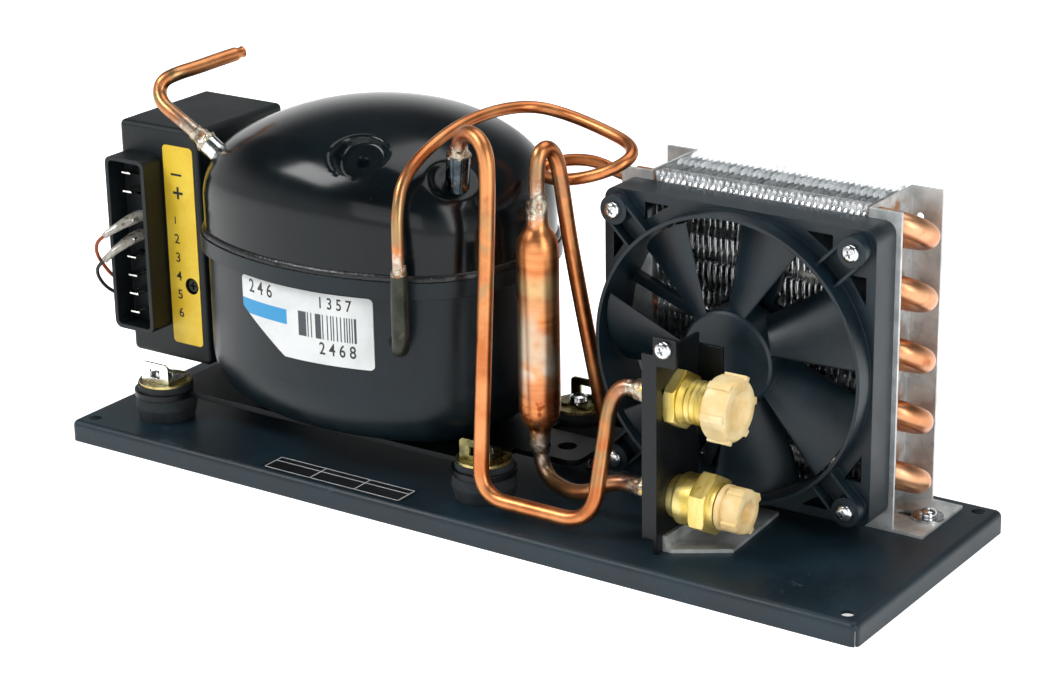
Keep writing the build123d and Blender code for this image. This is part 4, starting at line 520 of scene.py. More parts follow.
def object_from(bm, name):
    """A mesh object in metres from a mesh built in millimetres."""
    bmesh.ops.scale(bm, vec=(MM, MM, MM), verts=bm.verts)
    mesh = bpy.data.meshes.new(name)
    bm.to_mesh(mesh)
    bm.free()
    piece = bpy.data.objects.new(name, mesh)
    bpy.context.scene.collection.objects.link(piece)
    return piece


def kept(piece, material, body="unit", replaced=(), angle=32):
    """Gives a piece its material, shading and body, and hides the solids that it replaces."""
    mesh = piece.data
    mesh.materials.clear()
    mesh.materials.append(material)
    mesh.polygons.foreach_set("use_smooth", [True] * len(mesh.polygons))
    mesh.set_sharp_from_angle(angle=math.radians(angle))
    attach(piece, body)
    if replaced:
        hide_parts(*replaced)
    return piece


def made(bm, name, material, body="unit", replaced=(), angle=32):
    """Finishes a piece that is built in millimetres."""
    return kept(object_from(bm, name), material, body, replaced, angle)


def shown_mesh(holder):
    """The mesh that an object shows."""
    bpy.context.view_layer.update()
    return bpy.data.meshes.new_from_object(holder.evaluated_get(bpy.context.evaluated_depsgraph_get()))


def smooth_wire(name, points, radius, steps, around):
    """A round wire on one open spline, with the points as its control points."""
    curve = bpy.data.curves.new(name, "CURVE")
    curve.dimensions = "3D"
    line = curve.splines.new("NURBS")
    line.points.add(len(points) - 1)
    for spot, point in zip(line.points, points):
        spot.co = (*point, 1.0)
    line.order_u = 3
    line.use_endpoint_u = True
    curve.bevel_depth = radius
    curve.bevel_resolution = around
    curve.use_fill_caps = True
    curve.resolution_u = steps
    wire = bpy.data.objects.new(name, curve)
    bpy.context.scene.collection.objects.link(wire)
    return wire


def carved(piece, cutter):
    """Cuts one mesh object from another for good."""
    cut = piece.modifiers.new("cut", "BOOLEAN")
    cut.operation = "DIFFERENCE"
    cut.solver = "EXACT"
    cut.use_self = True
    cut.object = cutter
    mesh = shown_mesh(piece)
    piece.modifiers.clear()
    piece.data = mesh
    bpy.data.objects.remove(cutter)
    return piece


def paint(node, material):
    """Gives a solid that stays as it is its finish."""
    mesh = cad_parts[node].data
    mesh.materials.clear()
    mesh.materials.append(material)


def setting(name):
    """One of this file's settings, from the scene."""
    return getattr(bpy.context.scene.condensing_unit, name)


# Shell

def plan_point(angle):
    """Point of the shell's plan in one direction: bulged sides and ends with rounded corners."""
    cosine, sine = abs(math.cos(angle)), abs(math.sin(angle))
    low, high = 0.0, 120.0
    for _ in range(40):
        middle = (low + high) / 2
        if inside_plan(middle * cosine, middle * sine):
            low = middle
        else:
            high = middle
    return Vector((SHELL_X + low * math.cos(angle), low * math.sin(angle)))


def inside_plan(x, y):
    """Whether a point of the first quarter lies inside the rounded plan."""
    end_r, side_r = SHELL_ARCS
    side_centre = (0.0, SHELL_HALF[1] - side_r)
    end_centre = (SHELL_HALF[0] - end_r, 0.0)
    if math.hypot(x - side_centre[0], y - side_centre[1]) > side_r:
        return False
    if math.hypot(x - end_centre[0], y - end_centre[1]) > end_r:
        return False
    a, b = side_r - SHELL_CORNER, end_r - SHELL_CORNER
    dx, dy = end_centre[0] - side_centre[0], end_centre[1] - side_centre[1]
    span = math.hypot(dx, dy)
    along = (a * a - b * b + span * span) / (2 * span)
    across = math.sqrt(max(a * a - along * along, 0.0))
    ux, uy = dx / span, dy / span
    cx = side_centre[0] + ux * along + abs(uy) * across
    cy = side_centre[1] + uy * along - ux * across
    from_side = (cx - side_centre[0], cy - side_centre[1])
    from_end = (cx - end_centre[0], cy - end_centre[1])
    past_side = from_side[0] * (y - cy) - from_side[1] * (x - cx) < 0
    past_end = from_end[0] * (y - cy) - from_end[1] * (x - cx) > 0
    if past_side and past_end:
        return math.hypot(x - cx, y - cy) <= SHELL_CORNER
    return True


def ring_at(bm, count, points):
    """Starts a mesh with a ring of vertices put on the given points."""
    bmesh.ops.create_circle(bm, segments=count, radius=1.0)
    bm.verts.ensure_lookup_table()
    bm.edges.ensure_lookup_table()
    for vert, point in zip(bm.verts, points):
        vert.co = point
    return list(bm.verts), list(bm.edges)


def next_ring(bm, edges, verts, points):
    """Extrudes a ring and puts it on the next points."""
    place = {vert: i for i, vert in enumerate(verts)}
    grown = bmesh.ops.extrude_edge_only(bm, edges=edges)["geom"]
    ring = [None] * len(verts)
    for vert in grown:
        if isinstance(vert, bmesh.types.BMVert):
            for edge in vert.link_edges:
                if edge.other_vert(vert) in place:
                    ring[place[edge.other_vert(vert)]] = vert
    for vert, point in zip(ring, points):
        vert.co = point
    return ring, [g for g in grown if isinstance(g, bmesh.types.BMEdge)]


def lofted(rings, open_end=False):
    """A skin through rings of points, closed over the last ring unless told otherwise."""
    bm = bmesh.new()
    verts, edges = ring_at(bm, len(rings[0]), rings[0])
    for points in rings[1:]:
        verts, edges = next_ring(bm, edges, verts, points)
    if not open_end:
        bmesh.ops.contextual_create(bm, geom=verts)
    return bm


def lid_section(radius, count_edge, count_top):
    """(share of the wall's radius, height) up the wall, round the rolled edge and over the crown."""
    sphere_z = LID_TOP - LID_CROWN_R
    inner = LID_CROWN_R - LID_EDGE_R
    fillet_r = radius - LID_EDGE_R
    fillet_z = sphere_z + math.sqrt(inner * inner - fillet_r * fillet_r)
    last = math.atan2(fillet_z - sphere_z, fillet_r)
    section = []
    wall_steps = 10
    for i in range(wall_steps):
        section.append((radius, WELD_Z - LID_LAP + (fillet_z - WELD_Z + LID_LAP) * i / wall_steps))
    for i in range(count_edge):
        angle = last * i / count_edge
        section.append((fillet_r + LID_EDGE_R * math.cos(angle), fillet_z + LID_EDGE_R * math.sin(angle)))
    top_r = LID_CROWN_R * math.cos(last)
    for i in range(count_top):
        r = top_r * (1 - i / count_top)
        section.append((r, sphere_z + math.sqrt(LID_CROWN_R ** 2 - r * r)))
    return section


PADS = (
    # centre, outward direction, radius, depth, rim width
    ((-8.0, -25.5, 137.2), (0.44, -0.38, 0.81), 8.5, 0.9, 3.6),
    ((-46.0, -37.5, 143.5), (0.16, -0.62, 0.77), 9.0, 2.3, 3.2),
)


def press_pads(bm):
    """Flattens the round pads that the connectors stand on."""
    for centre, direction, radius, depth, rim in PADS:
        axis = Vector(direction).normalized()
        middle = Vector(centre)
        for vert in bm.verts:
            away = vert.co - middle
            height = away.dot(axis)
            side = (away - axis * height).length
            if side < radius + rim and abs(height) < 9:
                share = min(max((radius + rim - side) / rim, 0.0), 1.0)
                share = share * share * (3 - 2 * share)
                vert.co -= axis * (height + depth) * share


def shell_lid():
    """Domed lid with its two pressed pads."""
    count = setting("shell_segments")
    directions = [FULL_TURN * i / count for i in range(count)]
    outline = [plan_point(a) for a in directions]
    radii = [(p - Vector((SHELL_X, 0))).length for p in outline]
    sections = [lid_section(r, 26, 44) for r in radii]
    rings = []
    for level in range(len(sections[0])):
        ring = []
        for angle, section in zip(directions, sections):
            r, z = section[level]
            ring.append((SHELL_X + r * math.cos(angle), r * math.sin(angle), z))
        rings.append(ring)
    bm = lofted(rings)
    press_pads(bm)
    nub = spun([(0, -1.5), (3.4, -1.2), (2.6, 0.2), (1.4, 1.2), (0.9, 3.2), (0.5, 3.8), (0, 3.9)], 24)
    centre, direction, _, depth, _ = PADS[1]
    join(bm, nub, Vector(centre) - Vector(direction).normalized() * depth, direction)
    return bm


def weld_seam():
    """Weld bead round the lid, rippled along its run."""
    count = 720
    section = [(0.0, 0.0), (BEAD_OUT, 0.1), (BEAD_OUT * 0.95, BEAD_HIGH * 0.45),
               (BEAD_OUT * 0.5, BEAD_HIGH * 0.9), (0.0, BEAD_HIGH)]
    outline = [plan_point(FULL_TURN * i / count) for i in range(count)]
    rings = []
    for step, (out, up) in enumerate(section):
        ring = []
        for i, point in enumerate(outline):
            angle = FULL_TURN * i / count
            ripple = noise.noise(Vector((i * 0.42, step * 0.7, 0.0)))
            lump = noise.noise(Vector((i * 0.11, step * 0.4, 9.0)))
            grow = out * (1 + 0.16 * ripple + 0.14 * lump) if 0 < step < 4 else out - 0.2
            rise = up + (0.12 * ripple + 0.14 * lump if 0 < step else 0.0)
            ring.append((point.x + grow * math.cos(angle), point.y + grow * math.sin(angle), WELD_Z + rise))
        rings.append(ring)
    return lofted(rings, open_end=True)


# Screws, joints and trim

def screw_head(washer):
    """Pan head with rounded shoulder on +Z, its seat at zero, before its recess is cut."""
    profile = [(0, 0), (0.96, 0), (1, 0.12), (0.985, 0.38), (0.9, 0.66), (0.72, 0.86), (0.45, 0.97), (0, 1)]
    bm = spun([(HEAD_R * r, HEAD_H * h) for r, h in profile], 40)
    if washer:
        ring = spun([(0, -WASHER_THICK), (washer - 0.2, -WASHER_THICK), (washer, -0.8), (washer, -0.2),
                     (washer - 0.2, 0), (0, 0)], 48)
        join(bm, ring)
    return bm


def cross_cutter():
    """Tapered cross that a screwdriver fits."""
    span, width, depth = HEAD_R * 1.2, HEAD_R * 0.3, HEAD_H * 0.62
    bm = bmesh.new()
    for turn in (0, 90):
        arm = block((-span / 2, -width / 2, -depth), (span / 2, width / 2, 1.5))
        for vert in arm.verts:
            if vert.co.z < 0:
                vert.co.x *= 0.42
                vert.co.y *= 0.55
        join(bm, arm, turn=turn)
    return bm


def screws(places, name, material, replaced):
    """Cross-head screws at their places, each with its turn and the radius of its washer."""
    bm, cut = bmesh.new(), bmesh.new()
    for centre, axis, turn, washer in places:
        join(bm, screw_head(washer), centre, axis, turn)
        join(cut, cross_cutter(), Vector(centre) + Vector(axis) * HEAD_H, axis, turn)
    piece = carved(object_from(bm, name), object_from(cut, name + "_cut"))
    return kept(piece, material, replaced=replaced)


def bent_tube(name, points, radius):
    """A tube on one smooth spline through the listed bends."""
    holder = smooth_wire(name, points, radius, 12, 10)
    mesh = shown_mesh(holder)
    bpy.data.objects.remove(holder)
    bm = bmesh.new()
    bm.from_mesh(mesh)
    bmesh.ops.remove_doubles(bm, verts=bm.verts, dist=0.001)
    bmesh.ops.recalc_face_normals(bm, faces=bm.faces)
    return bm


def braze(bm, centre, axis, tube_r, socket_r, length, seed):
    """A lumpy fillet of alloy between a tube and its socket, thick end at the centre."""
    steps, rows = 28, 7
    outline = []
    for i in range(rows + 1):
        t = i / rows
        outline.append((socket_r + 0.35 - (socket_r - tube_r + 0.25) * (t ** 0.6), length * t))
    collar = spun([(tube_r - 0.4, -1.2), (socket_r + 0.15, -1.2)] + outline + [(tube_r - 0.4, length)], steps)
    for vert in collar.verts:
        lump = noise.noise(Vector((vert.co.x, vert.co.y, vert.co.z)) * 0.45 + Vector((seed, seed, 0)))
        fine = noise.noise(Vector((vert.co.x, vert.co.y, vert.co.z)) * 1.3 + Vector((seed, 0, seed)))
        if vert.co.xy.length > tube_r - 0.1:
            vert.co.x *= 1 + (0.16 * lump + 0.06 * fine)
            vert.co.y *= 1 + (0.16 * lump + 0.06 * fine)
            vert.co.z += 0.8 * lump
    join(bm, collar, centre, axis)


# Condenser

def condenser_fin():
    """One fin standing across X: rippled up its height, with wavy edges."""
    rows, columns = 66, 12
    bm = bmesh.new()
    bmesh.ops.create_grid(bm, x_segments=columns, y_segments=rows, size=0.5)
    depth, height = FIN_BACK - FIN_FRONT, PLATE_TOP - FIN_BOTTOM - 0.1
    for vert in bm.verts:
        u, v = vert.co.x + 0.5, vert.co.y + 0.5
        y, z = FIN_FRONT + depth * u, FIN_BOTTOM + height * v
        wave = math.sin(FULL_TURN * (z - 4) / (TUBE_PITCH / 2)) * 0.42 * (1 - 0.6 * u * 0.4)
        wave += math.sin(FULL_TURN * u * 3.0) * 0.75
        vert.co = (wave, y, z)
    bmesh.ops.solidify(bm, geom=bm.faces[:], thickness=0.34)
    return bm


def fin_stack():
    """All the fins, each bent a little by handling, and their collars on the tubes."""
    bm = bmesh.new()
    run = FIN_RIGHT - FIN_LEFT
    for i in range(FIN_COUNT):
        fin = condenser_fin()
        for vert in fin.verts:
            bend = noise.noise(Vector((vert.co.y * 0.05, vert.co.z * 0.045, i * 3.7)))
            vert.co.x += 0.55 * bend
        join(bm, fin, (FIN_LEFT + run * i / (FIN_COUNT - 1), 0, 0))
    for y, z in TUBES:
        join(bm, spun([(4.4, 0), (5.6, 0), (5.6, run), (4.4, run)], 32), (FIN_LEFT, y, z), (1, 0, 0))
    return bm


def fin_folds():
    """Short folds that stiffen the front edge of each fin, in rows."""
    bm = bmesh.new()
    for i in range(FIN_COUNT):
        x = FIN_LEFT + (FIN_RIGHT - FIN_LEFT) * i / (FIN_COUNT - 1)
        for row in range(11):
            top = PLATE_TOP - 0.2 - 11.6 * row
            lean = 0.5 * noise.noise(Vector((i * 0.7, row * 0.6, 2.0)))
            low, high = (x - 0.55 + lean, FIN_FRONT + 0.1, top - 7.6), (x + 0.55 + lean, FIN_FRONT + 1.5, top)
            join(bm, block(low, high, 0.4))
    return bm


# Terminals and fan leads

BROWN_LEAD = (
    (-184.6, -42.0, 89.5), (-186.9, -43.8, 87.6), (-188.6, -43.6, 83.4), (-189.6, -41.2, 78.9),
    (-190.1, -37.5, 73.9), (-190.5, -32.8, 68.3), (-190.9, -26, 63), (-191.1, -18, 58.8), (-191, -2, 55.5),
    (-190.9, 16, 53.5), (-190.7, 30, 49.5), (-190.3, 37.5, 40), (-189.6, 41, 29), (-187.8, 44, 19.5),
    (-182.5, 48.5, 13), (-174, 52, 10.7), (-164, 54.2, 10.4), (-145, 56.4, 10.4), (-112, 57.4, 10.4),
    (-65, 57.6, 10.4), (-25, 56.9, 10.4), (-1, 55.6, 10.4), (13.5, 52.8, 10.4), (23, 46.8, 10.4),
    (26.3, 38, 10.4), (26.8, 28.5, 10.4), (27.2, 20, 10.4), (29.2, 14.2, 10.4), (33.4, 10.4, 10.8),
    (37.9, 8.9, 13.2), (40.5, 8.6, 17.8), (41.2, 8.6, 22.6), (41.25, 8.6, 26.6), (41.7, 8.6, 29.3),
    (43.2, 8.6, 31), (45.5, 8.6, 31))
BLACK_LEAD = (
    (-185.2, -42.2, 78.5), (-187.7, -43.7, 76.2), (-189.2, -43.2, 72.6), (-189.9, -40.9, 68.6),
    (-190.3, -37, 64), (-190.7, -31, 59.5), (-190.9, -24, 56.4), (-191, -15, 54.2), (-190.9, -1, 52.6),
    (-190.7, 14, 50.8), (-190.5, 27.5, 46.4), (-190.2, 35, 37.6), (-189.5, 38.4, 27.6), (-187.5, 41.4, 18.3),
    (-182, 45.6, 12.2), (-173, 49, 10.5), (-163, 51.4, 10.4), (-144, 53.8, 10.4), (-112, 55, 10.4),
    (-65, 55.1, 10.4), (-25, 54.5, 10.4), (-1.5, 53, 10.4), (11.5, 50, 10.4), (20.6, 44.4, 10.4),
    (23.9, 36.5, 10.4), (24.5, 27.5, 10.4), (25.2, 18.8, 10.4), (27.3, 12.4, 10.4), (32, 8.2, 10.8),
    (37.2, 6.5, 13), (40.3, 6.4, 17.8), (41.2, 6.4, 22.6), (41.25, 6.4, 26.6), (41.7, 6.4, 29.3),
    (43.2, 6.4, 31), (45.5, 6.4, 31))


def lead(name, points, material, replaced):
    """A thin insulated wire on one smooth line, which goes back into the fan's frame."""
    piece = smooth_wire(name, [[p * MM for p in point] for point in points], 0.8 * MM, 10, 5)
    piece.data.materials.append(material)
    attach(piece, "unit")
    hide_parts(replaced)


def blade(z):
    """One flat blade with its tapered tip."""
    low, high = (BLADE_X - 3.15, UNIT_FRONT - 10.0, z - 0.4), (BLADE_X + 3.15, UNIT_FRONT + 1.0, z + 0.4)
    bm = block(low, high, 0.12)
    for vert in bm.verts:
        if vert.co.y < UNIT_FRONT - 9.0:
            vert.co.x = BLADE_X + (vert.co.x - BLADE_X) * 0.78
    return bm


def sleeve(z, tip):
    """A cloudy sleeve that droops from its blade, flat at the blade and round where the wire leaves it."""
    start, bend = Vector((BLADE_X, UNIT_FRONT - 1.2, z)), Vector((BLADE_X, UNIT_FRONT - 14.0, z))
    end = Vector(tip)
    rings = []
    for i in range(23):
        t = min(max((i - 1) / 20, 0.0), 1.0)
        centre = start * (1 - t) ** 2 + bend * (2 * t * (1 - t)) + end * t ** 2
        ahead = ((bend - start) * (1 - t) + (end - bend) * t).normalized()
        across = Vector((1, 0, 0)) - ahead * ahead.x
        across.normalize()
        above = across.cross(ahead)
        ease = t * t * (3 - 2 * t)
        wide, high = 4.3 + (1.5 - 4.3) * ease, 2.1 + (1.4 - 2.1) * ease
        if i in (0, 22):
            wide, high = wide * 0.3, high * 0.3
        rings.append([centre + across * (wide * math.cos(a)) + above * (high * math.sin(a))
                      for a in (FULL_TURN * k / 32 for k in range(32))])
    return lofted(rings)


# Print

def printed(words, size, centre, squash=1.0, on_label=False):
    """Plain figures laid on a face that looks toward -Y, centred on a place."""
    curve = bpy.data.curves.new("figure", "FONT")
    curve.body = words
    curve.size = size
    curve.offset = size * 0.012
    curve.align_x = "CENTER"
    curve.align_y = "CENTER"
    writing = bpy.data.objects.new("figure_line", curve)
    bpy.context.scene.collection.objects.link(writing)
    mesh = shown_mesh(writing)
    bpy.data.objects.remove(writing)
    bm = bmesh.new()
    bm.from_mesh(mesh)
    bmesh.ops.scale(bm, vec=(squash, 1, 1), verts=bm.verts)
    bm.transform(Matrix.Translation(Vector(centre)) @ Matrix.Rotation(math.radians(90), 4, "X"))
    if on_label:
        for vert in bm.verts:
            vert.co.y = label_front(vert.co.x) - 0.04
    return bm


def label_front(x):
    """Where the shell's label has its outer face."""
    radius = SHELL_ARCS[1] - LABEL_BULGE
    return SHELL_ARCS[1] - SHELL_HALF[1] - math.sqrt(radius ** 2 - (x - SHELL_X) ** 2)


# Operators

class CondensingUnitSettings(bpy.types.PropertyGroup):
    """Sizes and colours that a user would change."""

    shell_segments: bpy.props.IntProperty(
        name="Shell segments", description="Points round the compressor's lid", default=288, min=48, max=512)
    lamp_power: bpy.props.FloatProperty(
        name="Lamp power", description="Watts that every lamp takes a multiple of", default=5.0, min=0.1,
        unit="POWER")
    floor_colour: bpy.props.FloatVectorProperty(
        name="Floor colour", description="Colour of the floor", default=(0.93, 0.93, 0.93), size=3,
        min=0.0, max=1.0, subtype="COLOR")


class PaintedSolids(bpy.types.Operator):
    """Gives every solid that keeps its shape its finish."""

    bl_idname = "condensing_unit.painted_solids"
    bl_label = "Paint the solids"

    def execute(self, context):
        steel, zinc, yellow = bare_steel(), bright_zinc(), yellow_zinc()
        heated, plate, black = heated_steel(), enamelled_plate(), textured_abs()
        nylon, sheet, rubber = glass_filled_nylon(), galvanised_sheet(), moulded_rubber()
        brass, stack = machined_brass(), lamination_stack()
        iron, ferrite = grey_casting(), bonded_ferrite()
        finishes = {
            "base_tray": powder_coated_tray(), "compressor_foot_plate": plate, "rubber_grommets": rubber,
            "mounting_pins": zinc, "grommet_washers": yellow, "mounting_clips": clip_zinc(),
            "compressor_pot": satin_enamel_pot(), "compressor_label": printed_label(),
            "suction_stub": plated_stub(), "process_stub": zinc, "discharge_stub": heated,
            "hermetic_terminal": steel, "motor_stator": stack, "motor_windings": brass,
            "motor_rotor": stack, "crankshaft": steel, "cylinder_block": iron, "cylinder_head": iron,
            "piston": steel, "connecting_rod": iron, "suspension_springs": steel,
            "internal_discharge_tube": heated, "electronics_housing": black, "electronics_cover": black,
            "circuit_board": circuit_laminate(), "terminal_shroud": black,
            "housing_screw": heated, "terminal_label": printed_strip(),
            "condenser_tubes": drawn_copper("condenser_copper", ()),
            "return_bends": drawn_copper("bend_copper", (), low="#C98A60", high="#E2AE86"),
            "end_plate_right": sheet, "end_plate_left": sheet, "fan_frame": nylon, "fan_rotor": nylon,
            "fan_shaft": steel, "fan_magnet_ring": ferrite, "fan_stator": stack, "fan_bearing": brass,
            "coupling_bracket": plate, "bracket_foot": sheet, "coupling_nuts": heated,
            "upper_coupling_body": brass, "lower_coupling_body": brass,
        }
        for node, material in finishes.items():
            paint(node, material)
        return {"FINISHED"}


class CompressorShell(bpy.types.Operator):
    """Builds the domed lid with its pressed pads and the weld seam."""

    bl_idname = "condensing_unit.compressor_shell"
    bl_label = "Compressor shell"

    def execute(self, context):
        made(shell_lid(), "lid_shell", black_enamel_lid(), replaced=("compressor_lid",),
             angle=50)
        made(weld_seam(), "weld_seam", enamelled_weld(), replaced=("weld_bead",), angle=60)
        return {"FINISHED"}


class CondenserFins(bpy.types.Operator):
    """Builds the stack of rippled fins."""

    bl_idname = "condensing_unit.condenser_fins"
    bl_label = "Condenser fins"

    def execute(self, context):
        made(fin_stack(), "rippled_fins", fin_aluminium(), replaced=("condenser_fins",),
             angle=60)
        made(fin_folds(), "fin_edge_folds", fin_aluminium(), angle=60)
        return {"FINISHED"}


class CrossScrews(bpy.types.Operator):
    """Builds the cross-head screws of the fan, the plates and the bracket."""

    bl_idname = "condensing_unit.cross_screws"
    bl_label = "Cross-head screws"

    def execute(self, context):
        zinc = bright_zinc()
        front = (0, -1, 0)
        fan = []
        for n, (i, k) in enumerate(((-1, -1), (-1, 1), (1, -1), (1, 1))):
            corner = (FAN_CENTRE[0] + i * FAN_HOLES, FAN_SEAT_Y, FAN_CENTRE[2] + k * FAN_HOLES)
            fan.append((corner, front, 20 + 31 * n, 0.0))
        screws(fan, "fan_cross_screws", zinc, ("fan_screws",))
        foot_z = TRAY_TOP + PLATE_SHEET + WASHER_THICK
        up = (0, 0, 1)
        plates = [((172.1, 36.85, foot_z), up, 12, 6.5), ((34.9, 36.85, foot_z), up, 50, 6.5),
                  ((108.0, -3.0, TRAY_TOP + 1.5), up, 35, 0.0), ((102.3, -48.6, 94.15), front, 28, 0.0)]
        screws(plates, "plate_cross_screws", zinc, ("pan_head_screws",))
        return {"FINISHED"}


class CopperLines(bpy.types.Operator):
    """Bends the five copper lines in smooth sweeps."""

    bl_idname = "condensing_unit.copper_lines"
    bl_label = "Copper lines"

    def execute(self, context):
        inlet = (ROW_FRONT, FRONT_TUBES[0])
        outlet = (ROW_BACK, BACK_TUBES[-1])
        process = (
            (-132.6, -27.3, 132.9), (-141.0, -29.0, 139.6), (-150.5, -29.8, 145.4), (-158.6, -28.6, 149.2),
            (-161.6, -26.6, 153.6), (-160.8, -24.4, 158.0), (-156.8, -19.5, 160.4), (-154.2, -8.0, 161.2),
            (-152.6, 1.0, 162.1), (-150.5, 11.0, 162.9))
        suction = (
            (-7.6, -25.5, 136.4), (-5.7, -26.9, 148.0), (-4.4, -27.8, 154.6), (0.2, -29.9, 159.6),
            (8.0, -32.9, 159.4), (13.4, -35.2, 154.2), (14.8, -36.5, 144.0), (15.4, -39.0, 118.0),
            (16.4, -43.6, 78.0), (17.2, -47.6, 42.0), (17.8, -50.5, 16.4), (44.0, -50.5, 16.4),
            (70.8, -50.5, 16.4), (70.5, -42.2, 42.5), (70.2, COUPLING_Y, UPPER_Z),
            (86.0, COUPLING_Y, UPPER_Z), (89.6, COUPLING_Y, UPPER_Z))
        discharge = (
            (-13.3, -58.5, 98.0), (-13.3, -58.5, 108.0), (-13.5, -58.3, 119.0), (-14.6, -56.6, 131.0),
            (-16.4, -50.0, 142.6), (-15.8, -36.0, 150.6), (-14.6, -14.0, 156.6), (-10.6, 8.0, 158.4),
            (-3.0, 23.0, 157.4), (10.0, 27.4, 154.6), (28.0, 26.4, 151.0), (44.0, 21.6, 148.4),
            (50.6, 12.6, 146.2), (46.0, 4.6, 142.2), (34.0, 1.6, 137.6), (20.0, 2.6, 134.6),
            (9.6, 7.0, 134.4), (8.6, 14.4, 136.4), (16.0, 20.6, 138.4), (27.0, 24.4, 138.0),
            (37.0, *inlet), (46.0, *inlet), (53.0, *inlet))
        drier = (
            (44.0, *outlet), (37.4, *outlet), (33.6, 42.0, outlet[1] + 0.4), (36.6, 26.0, outlet[1] + 1.6),
            (37.4, 13.6, outlet[1] + 6.0), (35.4, 7.4, 54.0), (32.6, 0.0, 92.0), (30.8, -4.6, 118.0),
            (29.8, -7.2, 137.0), (29.0, -9.4, 148.4), (27.8, -13.4, 153.6), (26.8, -18.4, 152.2),
            (26.5, -20.0, 145.0), (26.5, -20.0, 135.0), (26.5, -20.0, 123.0))
        liquid = (
            (26.5, -20.0, 37.0), (26.5, -20.0, 28.6), (27.6, -20.4, 21.6), (32.6, -22.8, 17.6),
            (40.0, -26.6, 17.2), (50.0, -31.4, 18.4), (59.0, COUPLING_Y, 21.4), (66.6, COUPLING_Y, 26.6),
            (74.0, COUPLING_Y, LOWER_Z), (82.0, COUPLING_Y, LOWER_Z), (89.6, COUPLING_Y, LOWER_Z))
        for name, points, radius, joints, warm, reach in (
                ("process", process, 3.0, (process[1],), ((-160, -26, 150),), 13),
                ("suction", suction, 3.2, (suction[1], (84, COUPLING_Y, UPPER_Z)),
                 ((15.4, -40, 112), (70, -40, 50)), 13),
                ("discharge", discharge, 2.5, (discharge[1], (49, *inlet)), ((-14, -54, 125),), 11),
                ("drier_inlet", drier, 3.2, ((26.5, -20, 133),), ((28, -10, 148),), 13),
                ("liquid", liquid, 3.2, ((26.5, -20, 28), (84, COUPLING_Y, LOWER_Z)),
                 ((35, -24, 18), (55, -32, 20)), 14)):
            tube = bent_tube(name + "_sweep", points, radius)
            if name == "process":
                tip = spun([(0, -1), (2.9, -1), (3.0, 0), (2.2, 2.4), (2.5, 4.2), (0, 4.8)], 32)
                join(tube, tip, points[-1], Vector(points[-1]) - Vector(points[-2]))
            copper = drawn_copper(name + "_copper", joints, warm, reach)
            made(tube, name + "_line", copper, replaced=(name + "_tube",), angle=60)
        return {"FINISHED"}


class BrazedJoints(bpy.types.Operator):
    """Lays the alloy at each brazed joint of the lines."""

    bl_idname = "condensing_unit.brazed_joints"
    bl_label = "Brazed joints"

    def execute(self, context):
        bm = bmesh.new()
        joints = (
            # centre, direction, radius of the tube, radius of the socket, length
            ((-13.3, -58.2, 105.6), (0, 0, 1), 2.5, 3.2, 4.6),
            ((-5.6, -26.9, 148.6), (0.16, -0.11, 0.98), 3.2, 4.6, 4.0),
            ((-135.9, -27.9, 135.5), (-0.77, -0.15, 0.62), 3.0, 4.5, 6.5),
            ((26.5, -20.0, 129.6), (0, 0, 1), 3.2, 4.2, 6.0),
            ((26.5, -20.0, 30.4), (0, 0, -1), 3.2, 4.2, 5.0),
            ((84.8, COUPLING_Y, UPPER_Z), (-1, 0, 0), 3.2, 4.7, 7.0),
            ((84.8, COUPLING_Y, LOWER_Z), (-1, 0, 0), 3.2, 4.7, 6.0),
        )
        for seed, (centre, axis, tube_r, socket_r, length) in enumerate(joints):
            braze(bm, centre, Vector(axis).normalized(), tube_r, socket_r, length, seed * 5.3)
        made(bm, "brazed_joints", brazing_alloy(), angle=70)
        return {"FINISHED"}


class FilterDrier(bpy.types.Operator):
    """Spins the copper drier with its rounded shoulders and necks."""

    bl_idname = "condensing_unit.filter_drier"
    bl_label = "Filter drier"

    def execute(self, context):
        half = [(3.3, 50.0), (4.2, 50.0), (4.35, 47.5), (4.5, 44.0), (4.75, 42.6), (5.4, 41.4), (6.3, 40.2),
                (7.2, 38.6), (7.9, 36.8), (8.3, 34.9), (8.5, 32.6), (8.5, 25.0), (8.5, 12.0)]
        outline = half + [(r, -h) for r, h in reversed(half)]
        bm = bmesh.new()
        drier = spun(outline, 64)
        for vert in drier.verts:
            dent = noise.noise(Vector((vert.co.x * 0.09, vert.co.y * 0.09, vert.co.z * 0.05)))
            vert.co.x *= 1 + 0.012 * dent
            vert.co.y *= 1 + 0.012 * dent
        join(bm, drier, (DRIER[0], DRIER[1], 80.0))
        made(bm, "drier_shell", spun_copper(), replaced=("filter_drier",), angle=40)
        return {"FINISHED"}


